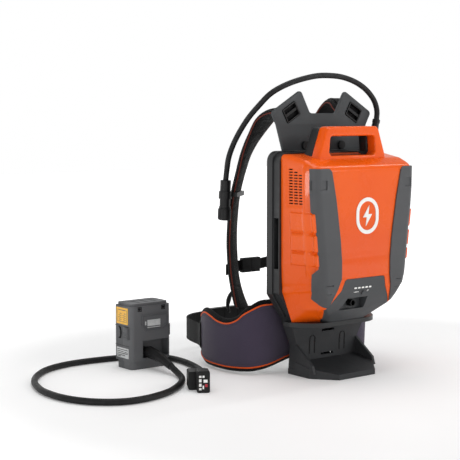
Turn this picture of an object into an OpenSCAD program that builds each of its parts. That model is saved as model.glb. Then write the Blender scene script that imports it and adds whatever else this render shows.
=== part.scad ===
// Backpack battery on a foot stand, with its carrying harness, a power cable
// and a hand-tool adapter on a cable of its own.
// Origin: middle of the foot's flat base. +Z up, -Y is the badge side,
// +Y is the wearer's side, +X is the right of someone facing the badge.

/* [Pack] */
// Width across the harness frame
frame_w = 300; // [296:1:304]
// Height of the frame's top edge above the floor
frame_top = 476; // [474:1:480]
// Height of the frame's bottom edge above the floor
frame_bottom = 126; // [124:1:128]
// Wall thickness of the moulded covers
wall = 3; // [2.6:0.2:3.4]
// How far the front face stands forward of the origin
front_reach = 80; // [78:1:82]
// How far the corner bumpers stand proud of the cover
bumper_proud = 3; // [2:0.5:4]

/* [Handle] */
// Height of the handle's top edge above the floor
handle_top = 527; // [524:1:530]
// Half width of the finger opening at its top
grip_half = 61; // [54:1:64]

/* [Foot stand] */
// Half width of the foot where it meets the floor
foot_half = 91; // [88:1:94]
// Depth of the foot in front of the origin
foot_front = 59; // [57:1:61]

/* [Fan] */
// Diameter of the cooling fan's rotor
fan_d = 56; // [50:1:58]
// Number of fan blades
fan_blades = 7; // [5:1:9]

/* [Cells] */
// Diameter of one battery cell
cell_d = 18.3; // [18:0.1:18.6]
// Length of one battery cell
cell_l = 65; // [64:0.5:66]
// Cells across the pack
cell_columns = 10; // [8:1:10]
// Rows of cells
cell_rows = 6; // [4:1:6]

/* [Harness] */
// Width of a padded shoulder strap
strap_w = 60; // [56:1:64]
// Thickness of a padded shoulder strap
strap_t = 13; // [11:1:15]
// Width of the chest webbing
chest_w = 25; // [22:1:28]
// Width of the hip webbing
hip_w = 50; // [46:1:52]
// Thickness of webbing
webbing_t = 2.4; // [2:0.2:3]

/* [Cables] */
// Diameter of the power cable from the pack
power_d = 12; // [11:0.5:13]
// Diameter of the adapter's cable
adapter_d = 13.5; // [12.5:0.5:14]

/* [Adapter] */
// Width of the tool adapter
adapter_w = 104; // [100:1:106]
// Depth of the tool adapter
adapter_depth = 67; // [65:1:69]
// Height of the tool adapter
adapter_h = 144; // [142:1:146]

/* [Hidden] */
$fn = 40;

// Depths along Y, front to back
handle_front = -40;
handle_mid = -14;
handle_back = 12;
bumper_gap = 0.1;
vent_rows = 13;
vent_columns = 3;
vent_row_pitch = 5.8;
vent_column_pitch = 14.5;
vent_slot = [40, 12, 2.8];
vent_start = [-160, -38, 369];
cover_back = 24;
housing_back = 44;
frame_back = 62;
pad_back = 80;
wing_y = 88;
// Top of the foot stand, where the pack sits on it
foot_top = 107.7;

// Half width of the cover at its front corners, by height
front_x = [[118, 58], [150, 99], [195, 119], [235, 123], [300, 130],
           [360, 137], [400, 140], [480, 141]];
// Front face, by height, as a distance back from front_reach
front_step = [[118, 55], [155, 20], [190, 5], [217, 0], [480, 0]];
// Half width of the cover at its rear edge, by height
rear_x = [[118, 112], [185, 139], [240, 141], [480, 143]];
cover_bottom = 118;
cover_levels = [118, 134, 150, 172, 195, 217, 235, 300, 360, 400, 480];
corner_r = 16;
// Rounding along the top of the front face
top_edge_r = 11.5;

// Panel and button plane: the lower front leans forward as it rises
panel_lean = atan(15 / 35);
led_lean = atan(5 / 27);
led_pitch = 10.5;
button_at = [2, -71.5, 181];
socket_at = [-12, 0, 159];
socket_r = 5.5;

// ---------- helpers ----------
function unit(v) = v / norm(v);
function arc(c, r, a0, a1, n) =
  [for (i = [0:n]) let (a = a0 + (a1 - a0) * i / n) [c[0] + r * cos(a), c[1] + r * sin(a)]];
function mirrored(p) = [for (i = [len(p) - 1:-1:0]) [-p[i][0], p[i][1]]];
function both_sides(p) = concat(p, mirrored(p));

// Closed solid through rings that have the same number of points
module skin(rings) {
  n = len(rings[0]);
  m = len(rings);
  polyhedron(
    points = [for (ring = rings) each ring],
    faces = concat(
      [[for (j = [0:n - 1]) j]],
      [for (i = [0:m - 2], j = [0:n - 1])
        let (k = (j + 1) % n, a = i * n, b = a + n)
        each [[a + j, b + j, b + k], [a + j, b + k, a + k]]],
      [[for (j = [n - 1:-1:0]) (m - 1) * n + j]]));
}

function tangent(path, i) =
  unit(path[min(i + 1, len(path) - 1)] - path[max(i - 1, 0)]);

// Rings of a round cord along a route; level is the way its sides are kept
function cord_rings(route, d, level, sides = 8) =
  [for (i = [0:len(route) - 1]) round_ring(route[i], tangent(route, i), d / 2, level, sides)];

// One ring of radius r about a point, facing along t
function round_ring(at, t, r, level, sides) =
  let (u = unit(cross(level, t)), v = cross(t, u))
  [for (s = [0:sides - 1])
    let (a = 360 * (s + 0.5) / sides)
    at + r * (cos(a) * u + sin(a) * v)];

// Rings of a flat band: each step of the route is [x, y, z, turn], where turn
// swings the width from +X about Z
function band_rings(route, w, t, soft = 0.3) =
  [for (i = [0:len(route) - 1])
    let (path = [for (p = route) [p[0], p[1], p[2]]],
         dir = tangent(path, i),
         wish = [cos(route[i][3]), sin(route[i][3]), 0],
         thick = unit(cross(dir, wish)),
         wide = cross(thick, dir),
         e = t * soft)
    [for (c = [[-w / 2 + e, -t / 2], [w / 2 - e, -t / 2], [w / 2, -t / 2 + e],
               [w / 2, t / 2 - e], [w / 2 - e, t / 2], [-w / 2 + e, t / 2],
               [-w / 2, t / 2 - e], [-w / 2, -t / 2 + e]])
      path[i] + c[0] * wide + c[1] * thick]];

// Rings of an upright belt: each step is [x, y, bottom, top, thickness]
function belt_rings(route) =
  [for (i = [0:len(route) - 1])
    let (path = [for (p = route) [p[0], p[1], 0]],
         dir = tangent(path, i),
         out = cross([0, 0, 1], dir),
         lo = route[i][2], hi = route[i][3], h = route[i][4] / 2, e = h * 0.8)
    [for (c = [[-h, lo + e], [-e * 0.4, lo], [e * 0.4, lo], [h, lo + e],
               [h, hi - e], [e * 0.4, hi], [-e * 0.4, hi], [-h, hi - e]])
      [path[i][0], path[i][1], 0] + c[0] * out + [0, 0, c[1]]]];

// Upright plate: an outline in X and Z, from y0 back to y1
module plate(y0, y1) {
  translate([0, y1, 0]) rotate([90, 0, 0]) linear_extrude(y1 - y0) children();
}

// Side profile: an outline in Y and Z, across X from x0 to x1
module profile(x0, x1) {
  translate([x0, 0, 0]) rotate([90, 0, 90]) linear_extrude(x1 - x0) children();
}

// Tilted so that its own +Z points out of the panel's lower face
module out_of_panel(at, lean) {
  translate(at) rotate([90 + lean, 0, 0]) children();
}

module pair() {
  children();
  mirror([1, 0, 0]) children();
}

module rod_y(r, y0, y1) {
  translate([0, y1, 0]) rotate([90, 0, 0]) cylinder(r = r, h = y1 - y0);
}

module rounded_box(size, r) {
  linear_extrude(size[2]) {
    translate([r, 0]) square([size[0] - 2 * r, size[1]]);
    translate([0, r]) square([size[0], size[1] - 2 * r]);
    for (x = [r, size[0] - r], y = [r, size[1] - r]) translate([x, y]) circle(r);
  }
}

// ---------- cover, housing and frame ----------
function cover_ring(z, inset) =
  let (a = lookup(z, front_x) - inset, b = lookup(z, rear_x) - inset,
       y = lookup(z, front_step) - front_reach + inset,
       r = corner_r - min(inset, 0), back = inset > 0 ? cover_back + 1 : cover_back,
       ring = concat(arc([-a + r, y + r], r, 180, 270, 5),
                     arc([a - r, y + r], r, 270, 360, 5),
                     [[b, back], [-b, back]]))
  [for (p = ring) [p[0], p[1], z]];

module cover_solid(inset) {
  low = cover_bottom + max(inset, 0);
  intersection() {
    skin([for (z = cover_levels) cover_ring(z, inset)]);
    profile(-200, 200)
      polygon(concat([[-100, low], [cover_back + 2, low], [cover_back + 2, 470 - inset],
                      [8, 469 - inset], [-43, 460 - inset]],
                     arc([top_edge_r - 0.5 - front_reach, 437], top_edge_r - inset, 111, 180, 6),
                     [[-100, 434]]));
  }
}

panel_outline = both_sides(concat(
  arc([50, 206], 8, 90, 30, 3), [[63, 191], [92, 150], [60, 118]]));

module panel_region(grow) {
  plate(-100, 10) polygon([for (p = panel_outline)
    [p[0] + (p[0] > 0 ? grow : -grow), p[1] + (p[1] > 120 ? grow : -grow * 10)]]);
}

module vent_cuts() {
  for (row = [0:vent_rows - 1], column = [0:vent_columns - 1])
    if (column >= row - vent_rows + vent_columns)
      translate(vent_start + [0, column * vent_column_pitch, row * vent_row_pitch])
        cube(vent_slot);
}

handle_outline = both_sides(concat(
  [[98, 452], [94, 468]], arc([64, handle_top - 12], 12, 20, 90, 5)));
grip_outline = both_sides(concat(
  [[grip_half - 1, 467], [grip_half + 5, 474]],
  arc([grip_half - 5, handle_top - 28], 8, 20, 90, 4)));

module handle_loop(y0, y1, trim) {
  difference() {
    plate(y0, y1) polygon([for (p = handle_outline)
      [p[0] - sign(p[0]) * trim, p[1] - (p[1] > 480 ? trim : 0)]]);
    plate(y0 - 1, y1 + 1) polygon(grip_outline);
  }
}

module front_cover() {
  color("orangered") {
    difference() {
      cover_solid(0);
      cover_solid(wall);
      panel_region(0.3);
      vent_cuts();
      mirror([1, 0, 0]) vent_cuts();
    }
    handle_loop(handle_front, handle_mid, 0);
  }
}

module handle_rear_shell() {
  color("dimgray") difference() {
    handle_loop(handle_mid + 0.3, handle_back, 1.5);
    cover_solid(0);
  }
}

// Right-hand bumper: the front edge is an outline in X and Z, the side edge in Y and Z
bumper_front = [[99, 436], [106, 443], [170, 443], [170, 150], [104, 150],
                [88, 156], [78, 190], [70, 217], [70, 252], [74, 297], [87, 380]];
bumper_side = [[-100, 446], [-63, 446], [-63, 356], [-72, 349], [-72, 240],
               [-54, 227], [-49, 189], [-41, 175], [-66, 150], [-100, 150]];

// side is 1 on the right and -1 on the left; both are cut by the one cover solid
module bumper(side) {
  color("#565656") difference() {
    intersection() {
      cover_solid(-bumper_proud);
      plate(-120, 20) polygon([for (p = bumper_front) [side * p[0], p[1]]]);
      profile(min(0, side * 180), max(0, side * 180)) polygon(bumper_side);
    }
    cover_solid(-bumper_gap);
    panel_region(1);
  }
}
module bumper_right() bumper(1);
module bumper_left() bumper(-1);

module vent_screens() {
  color("black") pair() translate([-134, -41, 366]) cube([1.5, 47, 76]);
}

module control_panel() {
  color("#3a3a3a") {
    difference() {
      intersection() {
        difference() {
          cover_solid(0);
          cover_solid(wall);
        }
        panel_region(0);
      }
      recess_region();
      led_boxes(0.15);
      out_of_panel(button_at, panel_lean) cylinder(r = 5.2, h = 30, center = true);
    }
    difference() {
      plate(-72, -40) polygon(pocket_outline(2));
      plate(-90, -42) polygon(pocket_outline(0));
      translate([socket_at[0], 0, socket_at[2]]) rod_y(socket_r + 2, -60, -30);
      front_waste();
    }
  }
}

function pocket_outline(grow) =
  [[-50 - grow, 146 - grow], [21 + grow, 146 - grow],
   [19 + grow, 172 + grow], [-38 - grow, 172 + grow]];

module recess_region() plate(-100, -20) polygon(pocket_outline(0));

// Everything in front of the cover's own front surface
module front_waste() {
  difference() {
    translate([-100, -110, 100]) cube([200, 100, 110]);
    cover_solid(0.5);
  }
}

module led_boxes(grow) {
  for (i = [0:4]) out_of_panel([-24 + i * led_pitch, -75.6, 193.4], led_lean)
    translate([-3.2 - grow, -1.6 - grow, -4]) cube([6.4 + 2 * grow, 3.2 + 2 * grow, 4.8]);
}

module led_lenses() {
  color("white") led_boxes(0);
}

module status_button() {
  color("lightgray") out_of_panel(button_at, panel_lean) translate([0, 0, -7.5]) {
    cylinder(r = 5, h = 9.5);
    cylinder(r = 7, h = 1.6);
  }
}

module charge_socket() {
  color("#202020") translate([socket_at[0], 0, socket_at[2]]) difference() {
    union() {
      rod_y(socket_r + 1.7, -56, -30);
      rod_y(socket_r + 4, -39.7, -36);
    }
    rod_y(socket_r, -57, -40);
  }
}

module charge_contacts() {
  color("gold") translate([socket_at[0], 0, socket_at[2]])
    for (x = [-2.4, 2.4]) translate([x, 0, 0]) rod_y(0.8, -30, -22);
}

badge_at = [3, 0, 343];
module front_badge() {
  color("white") translate(badge_at) plate(-front_reach - 1.6, -front_reach) {
    difference() {
      badge_oval(0);
      badge_oval(8);
    }
    polygon([[5, 22], [-13, -3], [-2, -3], [-5, -22], [13, 3], [2, 3]]);
  }
}

module badge_oval(inset) {
  hull() for (z = [-6, 6]) translate([0, z]) circle(32 - inset);
}

// Outline of the harness frame in X and Z, pulled in by inset
function frame_outline(inset) =
  let (h = frame_w / 2 - inset, top = frame_top - inset, low = frame_bottom + inset)
  both_sides(concat(
    [[h - 36, low], [h, low + 52]], arc([h - 22, top - 22], 22, 0, 90, 6)));

module rear_housing() {
  color("#3f3f3f") difference() {
    union() {
      plate(cover_back, housing_back) polygon(frame_outline(3));
      base_rim();
    }
    plate(cover_back - 1, housing_back - wall) polygon(frame_outline(10));
    pair() translate([138, cover_back + 3, 232]) cube([20, 14, 106]);
  }
}

// Dark tray under the cover that the foot screws to
skirt_outline = both_sides([[106, foot_top + 0.3], [112, 132]]);
rim_outline = both_sides(concat(
  arc([52, 34], 60, -90, -40, 4), [[118, 24], [118, housing_back]]));
module base_rim() {
  translate([0, 0, foot_top + 0.3]) linear_extrude(9.7) polygon(rim_outline);
  plate(cover_back + 0.3, housing_back) polygon(skirt_outline);
}

module at_frame_screws() {
  for (x = [-126, 126], z = [210, 300, 440]) translate([x, 0, z]) children();
}

module back_frame() {
  color("#464646") {
    difference() {
      union() {
        plate(housing_back, frame_back) polygon(frame_outline(0));
        plate(housing_back, frame_back) polygon(skirt_outline);
      }
      plate(housing_back + 6, frame_back + 1) polygon(frame_outline(12));
      at_frame_screws() rod_y(2.6, housing_back - 1, housing_back + 7);
    }
    for (z = [190, 260, 330, 400])
      translate([-139, housing_back + 5, z]) cube([278, 11, 5]);
  }
}

module back_pad() {
  color("#1c1c1c") translate([-105, frame_back + 0.3, 180])
    cube([210, pad_back - frame_back - 0.3, 250]);
}

module frame_screws() {
  color("silver") at_frame_screws() {
    rod_y(2.5, housing_back + 0.3, housing_back + 8);
    rod_y(4.5, housing_back + 6, housing_back + 9);
  }
}

// ---------- shoulder yoke ----------
yoke_front = 54;
yoke_back = 60;
yoke_outline = both_sides(concat(
  [[112, 452], [112, 476], [129, 530]], arc([133, 553], 8, -20, 60, 3),
  arc([66, 592], 8, 60, 150, 4), arc([30, 566], 12, -50, -90, 3)));
slot_at = [90, 556];
slot_turn = -30;

module yoke_slot(grow, y0, y1) {
  pair() translate([slot_at[0], 0, slot_at[1]]) rotate([0, -slot_turn, 0])
    translate([-17 - grow, y0, -13 - grow]) cube([34 + 2 * grow, y1 - y0, 26 + 2 * grow]);
}

module shoulder_yoke() {
  color("#4a4a4a") difference() {
    plate(yoke_front, yoke_back) polygon(yoke_outline);
    yoke_slot(3, yoke_front - 1, yoke_back + 1);
    plate(yoke_front - 1, frame_back + 1) polygon(frame_outline(-0.2));
    for (x = [-52, 52]) translate([x, 0, 486]) rod_y(4, 40, 70);
  }
  color("#4a4a4a") for (x = [-52, 52]) {
    translate([x - 20, frame_back + 0.3, 440]) cube([40, 4, 60]);
    translate([x - 20, yoke_back, frame_top + 1]) cube([40, 4, 499 - frame_top]);
  }
}

module yoke_slot_frames() {
  color("#1a1a1a") difference() {
    yoke_slot(2.9, yoke_front - 2, yoke_back + 1.5);
    difference() {
      yoke_slot(0, yoke_front - 3, yoke_back + 3);
      pair() translate([slot_at[0], 0, slot_at[1]]) rotate([0, -slot_turn, 0])
        translate([-18, yoke_front, -3]) cube([36, 5, 6]);
    }
  }
}

module yoke_screws() {
  color("#222222") for (x = [-52, 52]) translate([x, 0, 486]) {
    rod_y(9, yoke_front - 6, yoke_front - 0.01);
    rod_y(3.5, yoke_front - 0.01, yoke_back);
  }
}

// ---------- foot stand ----------
foot_plan = both_sides([[52, -foot_front], [foot_half, -9], [foot_half, 59.5]]);
module foot_body(grow) {
  intersection() {
    plate(-70, 59.5 + grow) polygon(both_sides(
      [[foot_half - grow, -1], [foot_half - 5 - grow, 62], [106 - grow, foot_top + grow]]));
    profile(-120, 120) polygon([[30 + grow, foot_top + grow], [36 + grow, 62], [36 + grow, grow],
                                [59.5 + grow, grow], [59.5 + grow, foot_top + grow]]);
  }
}

module foot_stand() {
  color("#3c3c3c") difference() {
    union() {
      linear_extrude(12) polygon(foot_plan);
      intersection() {
        linear_extrude(40) polygon(foot_plan);
        profile(-100, 100) polygon([[-foot_front, 11], [-foot_front + 6, 13], [36, 29], [37, 11]]);
      }
      foot_body(0);
      pair() profile(foot_half - 7, foot_half - 1) polygon([[-22, 11], [36, 11], [36, 66], [-16, 28]]);
    }
    difference() {
      translate([0, 8, 0]) foot_body(0);
      translate([-120, 0, -1]) cube([240, 80, 13]);
      translate([-120, 0, 103]) cube([240, 80, 20]);
      for (x = [-foot_half - 20, 80, -3]) translate([x, 0, 0]) cube([x == -3 ? 6 : 31, 80, 110]);
    }
    for (z = [38, 90]) translate([-18, 20, z - 2.5]) cube([36, 30, 5]);
    for (x = [-43.5, 43.5]) translate([x, 0, 0]) arch_groove();
  }
}

module arch_groove() {
  plate(20, 36) difference() {
    union() {
      translate([0, 74]) circle(8);
      translate([-8, 40]) square([16, 34]);
    }
    translate([0, 74]) circle(6.6);
    translate([-6.6, 39]) square([13.2, 35]);
  }
}

// ---------- cells and electronics ----------
cell_pitch = 19.2;
cell_low = 236;
cell_front = -52;
function cell_x(i) = (i - (cell_columns - 1) / 2) * cell_pitch;
function cell_z(j) = cell_low + (j + 0.5) * cell_pitch;

module battery_cells() {
  color("#3f7fbf") for (i = [0:cell_columns - 1], j = [0:cell_rows - 1])
    translate([cell_x(i), 0, cell_z(j)]) rod_y(cell_d / 2, cell_front, cell_front + cell_l);
}

module cell_tray(y0, y1, open0, open1) {
  w = cell_columns * cell_pitch + 6;
  h = cell_rows * cell_pitch + 6;
  color("#e8e8e0") difference() {
    translate([-w / 2, y0, cell_low - 3]) cube([w, y1 - y0, h]);
    translate([-w / 2 + 3, open0, cell_low]) cube([w - 6, open1 - open0, h - 6]);
  }
}
module cell_tray_front() cell_tray(cell_front - 6, cell_front + 8, cell_front - 1.2, cell_front + 9);
module cell_tray_rear()
  cell_tray(cell_front + cell_l - 8, cell_front + cell_l + 6,
            cell_front + cell_l - 9, cell_front + cell_l + 1.2);

module bus_bars() {
  color("silver") for (j = [0:cell_rows - 1], y = [cell_front - 0.6, cell_front + cell_l + 0.1])
    translate([-cell_columns * cell_pitch / 2 + 4, y, cell_z(j) - 4])
      cube([cell_columns * cell_pitch - 8, 0.5, 8]);
}

module circuit_board() {
  color("darkgreen") {
    translate([-80, 0, 188]) cube([160, 1.6, 40]);
    for (x = [-60, -30, 0, 30, 60]) translate([x, 0, 210]) rod_y(6, -10, 0);
    for (x = [-50, 20]) translate([x, 1.6, 196]) cube([30, 5, 14]);
  }
}

fan_at = [-98, -20, 402];
module fan_housing() {
  color("#2a2a2a") translate(fan_at) rotate([0, 90, 0]) {
    difference() {
      translate([-34, -34, -2]) cube([68, 68, 20]);
      translate([0, 0, -3]) cylinder(r = fan_d / 2 + 2, h = 30);
    }
    translate([0, 0, -1.5]) {
      for (a = [45, 135]) rotate(a) translate([-fan_d / 2 - 3, -2, 0]) cube([fan_d + 6, 4, 1.8]);
      cylinder(r = 1.5, h = 16);
    }
  }
}

module fan_rotor() {
  color("#111111") translate(fan_at) rotate([0, 90, 0]) difference() {
    union() {
      translate([0, 0, 1]) cylinder(r = 11, h = 14);
      for (i = [0:fan_blades - 1]) rotate(i * 360 / fan_blades)
        translate([10, -0.8, 3]) rotate([25, 0, 0]) cube([fan_d / 2 - 10.5, 1.6, 11]);
    }
    translate([0, 0, -1]) cylinder(r = 1.55, h = 20);
  }
}

// ---------- power cable, connector and clip ----------
// Route of the stiff cable: out of the gland, over the yoke and down to the connector
power_route = [
  [147, 40, 540], [149, 41, 560], [140, 42, 583], [118, 44, 605], [88, 46, 621],
  [52, 48, 631], [17, 50, 634], [-18, 52, 633], [-52, 55, 627], [-85, 59, 618],
  [-114, 65, 606], [-132, 76, 592], [-140, 98, 571], [-143, 128, 546], [-146, 155, 516],
  [-148, 177, 485], [-148, 192, 457], [-145, 202, 430], [-144, 207, 409]];
gland_base = [129, 38, 482];
connector_top = [-144, 207, 409];
connector_low = [-144, 212, 322];
socket_depth = 20;

module along(from, to) {
  d = to - from;
  translate(from) rotate([0, acos(d[2] / norm(d)), atan2(d[1], d[0])]) children();
}

cable_level = [0.5, 0.86, 0];
gland_foot = [gland_base[0], gland_base[1], frame_top + 0.3];
gland_way = unit(power_route[0] - gland_base);
gland_reach = norm(power_route[0] - gland_base);
function gland_ring(s, r) = round_ring(gland_base + s * gland_way, gland_way, r, cable_level, 16);
function flange_ring(h, r) = round_ring(gland_foot + [0, 0, h], [0, 0, 1], r, cable_level, 16);
module cable_gland() {
  color("#2b2b2b") skin([
    flange_ring(0, 12), flange_ring(8, 12), flange_ring(8.4, 10.5),
    gland_ring(18, 10.5), gland_ring(gland_reach - 8, 7.5),
    gland_ring(gland_reach - 7.6, 8.5), gland_ring(gland_reach, 8.5)]);
}

module power_cable() {
  color("#333333") skin(cord_rings(power_route, power_d, cable_level));
}

connector_len = norm(connector_low - connector_top);
module tool_connector() {
  color("#2e2e2e") along(connector_top, connector_low) difference() {
    union() {
      cylinder(r = 11.5, h = 60);
      translate([0, 0, 60]) cylinder(r = 10.4, h = connector_len - 60);
      translate([0, 0, 57]) cylinder(r = 12.5, h = 3);
    }
    translate([0, 0, connector_len - socket_depth]) cylinder(r = 8.5, h = socket_depth + 1);
  }
}

module connector_contacts() {
  color("gold") along(connector_top, connector_low)
    for (a = [0, 120, 240]) rotate(a) translate([4.5, 0, connector_len - socket_depth - 4])
      cylinder(r = 1.2, h = 4);
}

module lock_collar() {
  color("#1f1f1f") along(connector_top, connector_low) translate([0, 0, 61]) difference() {
    union() {
      cylinder(r = 13.5, h = connector_len - 62);
      for (a = [0:30:330]) rotate(a) translate([12.8, -1.5, 2]) cube([1.7, 3, connector_len - 66]);
    }
    translate([0, 0, -1]) cylinder(r = 10.45, h = 40);
  }
}

module strap_clip() {
  color("#1f1f1f") {
    along(connector_top, connector_low) translate([0, 0, 24]) difference() {
      cylinder(r = 14, h = 16);
      translate([0, 0, -1]) cylinder(r = 11.55, h = 18);
    }
    mirror([1, 0, 0]) strap_band(377, 10, 2);
  }
}

// ---------- shoulder straps ----------
// Right-hand strap: [x, y, z, swing of the width about Z]
strap_rise_left = [
  [92, 67.5, 556, 0], [92, 80, 557, 0], [94, 95, 555, -1], [97, 110, 550, -3],
  [100, 126, 541, -8], [100, 142, 526, -14], [100, 159, 507, -22], [100, 176, 486, -29],
  [100, 191, 463, -34]];
strap_rise_right = [
  [92, 67.5, 556, 0], [92, 77, 556.5, 0], [93, 89, 566, 0], [96, 103, 577, -2],
  [98, 118, 579, -6], [100, 133, 569, -12], [100, 149, 549, -19], [100, 165, 522, -26],
  [100, 181, 494, -31], [100, 193, 466, -35]];
strap_fall = [
  [100, 203, 438, -37], [100, 214, 411, -38], [100, 224, 384, -38],
  [100, 231, 356, -38], [100, 236, 326, -37], [100, 239, 296, -37], [100, 240, 265, -36],
  [100, 238, 235, -36], [100, 235, 205, -36], [100, 228, 177, -36], [100, 218, 150, -33],
  [100, 205, 124, -28]];

module shoulder_strap(rise) {
  color("#1b1b1b") skin(band_rings(concat(rise, strap_fall), strap_w, strap_t));
}
module shoulder_strap_right() shoulder_strap(strap_rise_right);
module shoulder_strap_left() mirror([1, 0, 0]) shoulder_strap(strap_rise_left);

// A band round the right-hand strap at a height, w wide outside and h tall
function strap_y(z) = lookup(z, [for (p = strap_fall) [p[2], p[1]]]);
function strap_swing(z) = lookup(z, [for (p = strap_fall) [p[2], p[3]]]);
module strap_band(z, h, t) {
  gap = 2;
  w = strap_w + 2 * gap;
  d = strap_t + 2 * gap;
  translate([100, strap_y(z), z]) rotate(strap_swing(z)) difference() {
    translate([-w / 2 - t, -d / 2 - t, -h / 2]) cube([w + 2 * t, d + 2 * t, h]);
    translate([-w / 2, -d / 2, -h]) cube([w, d, 2 * h]);
  }
}

module strap_adjusters() {
  color("#6a6a6a") pair() translate([88, 61.8, 548]) rotate([0, 30, 0])
    translate([-22, 0, 0]) cube([44, 5, 26]);
}

lower_route = [[100, 205, 124, -28], [100, 198, 111, -22], [100, 180, 94, -8], [100, 150, 84, 0],
               [100, 118, 84, 0], [100, 98, 94, 0], [100, 96, 112, 0]];
module lower_webbing() {
  color("#151515") skin(band_rings(lower_route, chest_w, webbing_t));
}
module lower_webbing_right() lower_webbing();
module lower_webbing_left() mirror([1, 0, 0]) lower_webbing();

// ---------- chest strap ----------
chest_y = 264;
chest_mid = [-29, chest_y, 210.5];
// Each half of the chest strap lies along the outer face of its shoulder strap
module chest_webbing_left() {
  color("#151515") {
    skin(belt_rings([[-55, chest_y, 198, 198 + chest_w, webbing_t],
                     [-68, chest_y + 1, 197, 197 + chest_w, webbing_t],
                     [-80, chest_y - 1, 196, 196 + chest_w, webbing_t],
                     [-106, chest_y - 20, 196, 196 + chest_w, webbing_t],
                     [-122, chest_y - 31, 196, 196 + chest_w, webbing_t]]));
    mirror([1, 0, 0]) strap_band(208, 18, 2);
  }
}

module chest_webbing_right() {
  color("#151515") skin(belt_rings([
    [106, chest_y - 19, 214, 214 + chest_w, webbing_t],
    [80, chest_y, 211, 211 + chest_w, webbing_t],
    [66, chest_y + 3, 208, 208 + chest_w, webbing_t],
    [30, chest_y + 1, 202, 202 + chest_w, webbing_t], [-3, chest_y, 198, 198 + chest_w, webbing_t]]));
}

// Side-release buckle: socket on the -X side, tongue on the +X side
module buckle_socket(w, length, t) {
  difference() {
    translate([-length, -t / 2, -w / 2 - 4]) cube([length, t, w + 8]);
    translate([-length + 8, -t / 2 + 2, -w / 2]) cube([length, t - 4, w]);
  }
}

module buckle_tongue(w, length, t) {
  translate([0.3, -t / 2, -w / 2 - 4]) cube([length, t, w + 8]);
  for (z = [-w / 2 + 1, -2, w / 2 - 5])
    translate([-length + 9, -t / 2 + 2.4, z]) cube([length - 8, t - 4.8, 4]);
}

module chest_buckle_socket() {
  color("#222222") translate(chest_mid) buckle_socket(chest_w, 26, 10);
}
module chest_buckle_tongue() {
  color("#222222") translate(chest_mid) buckle_tongue(chest_w, 26, 10);
}

// ---------- hip belt ----------
// Right-hand wing: [x, y, bottom, top, thickness]
wing_route = [
  [60.8, wing_y, 26, 158, 14], [92, wing_y - 2, 20, 160, 15], [122, wing_y - 4, 14, 161, 16],
  [146, wing_y - 1, 10, 160, 16], [163, wing_y + 9, 7, 150, 16], [172, wing_y + 22, 6, 139, 16],
  [177, wing_y + 36, 5, 126, 16], [182, wing_y + 62, 4, 117, 16], [183, wing_y + 92, 4, 119, 16],
  [180, wing_y + 122, 4, 127, 15], [174, wing_y + 148, 5, 130, 14], [165, wing_y + 172, 10, 122, 12],
  [156, wing_y + 188, 20, 110, 9]];
module hip_wing() {
  color("#45404f") skin(belt_rings(wing_route));
}
module hip_wing_right() hip_wing();
module hip_wing_left() mirror([1, 0, 0]) hip_wing();

module lumbar_pad() {
  color("#1c1c1c") translate([-60, frame_back + 0.3, 40]) cube([120, 30, 128]);
}

hip_mid = [0, 402, 64];
hip_route = [
  [175, wing_y + 170, 39, 39 + hip_w, webbing_t],
  [164, wing_y + 194, 39, 39 + hip_w, webbing_t],
  [157, wing_y + 220, 39, 39 + hip_w, webbing_t],
  [149, wing_y + 246, 39, 39 + hip_w, webbing_t],
  [138, wing_y + 270, 39, 39 + hip_w, webbing_t],
  [120, wing_y + 291, 39, 39 + hip_w, webbing_t],
  [96, wing_y + 305, 39, 39 + hip_w, webbing_t],
  [68, wing_y + 312, 39, 39 + hip_w, webbing_t],
  [37.4, wing_y + 314, 39, 39 + hip_w, webbing_t]];
module hip_webbing_right() {
  color("#151515") skin(belt_rings(hip_route));
}
module hip_webbing_left() {
  color("#151515") mirror([1, 0, 0]) skin(belt_rings(hip_route));
}
module hip_buckle_socket() {
  color("#222222") translate(hip_mid) buckle_socket(hip_w, 37, 13);
}
module hip_buckle_tongue() {
  color("#222222") translate(hip_mid) buckle_tongue(hip_w, 37, 13);
}

// ---------- tool adapter ----------
adapter_at = [-338, 289, 0];
split = 33;
terminal_x = [30, 52, 74];
adapter_screw_x = [22, 84];
screw_z = 132;
recess_low = 24;
recess_high = 62;
recess_left = 30;
recess_w = 68;
latch_low = 66;
latch_h = 26;
module adapter_outer(inset) {
  translate([inset, inset, inset]) {
    w = adapter_w - 2 * inset;
    d = adapter_depth - 2 * inset;
    translate([3, 3, 0]) rounded_box([w - 6, d - 6, 18], 12 - inset);
    translate([0, 0, 18]) rounded_box([w, d, adapter_h - 24 - 2 * inset], 9 - inset);
    translate([4, 4, adapter_h - 10 - 2 * inset]) rounded_box([w - 8, d - 8, 10], 9 - inset);
  }
}

module adapter_shell() {
  difference() {
    adapter_outer(0);
    adapter_outer(2.6);
    recess(0, 27);
    for (x = terminal_x) translate([x, 14, adapter_h - 6]) cube([3, 38, 10]);
    for (x = [-1, adapter_w - 10]) translate([x, 9, latch_low]) cube([11, 17, latch_h]);
    translate([-1, 40, latch_low]) cube([3, 5, latch_h]);
    for (x = adapter_screw_x) translate([x, 0, screw_z]) {
      rod_y(3.4, -1, 1.4);
      rod_y(1.3, 0, 5);
    }
  }
  difference() {
    translate([0, 0.5, 0]) recess(2.4, 26.5);
    recess(0, 25);
    translate([46, 0, 37]) rod_y(9.2, 20, 40);
  }
}

// The pocket that the cable leaves from
module recess(grow, depth) {
  translate([recess_left - grow, grow > 0 ? 0 : -1, recess_low - grow])
    cube([recess_w + 2 * grow, grow > 0 ? depth : depth + 1, recess_high - recess_low + 2 * grow]);
}

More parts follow.
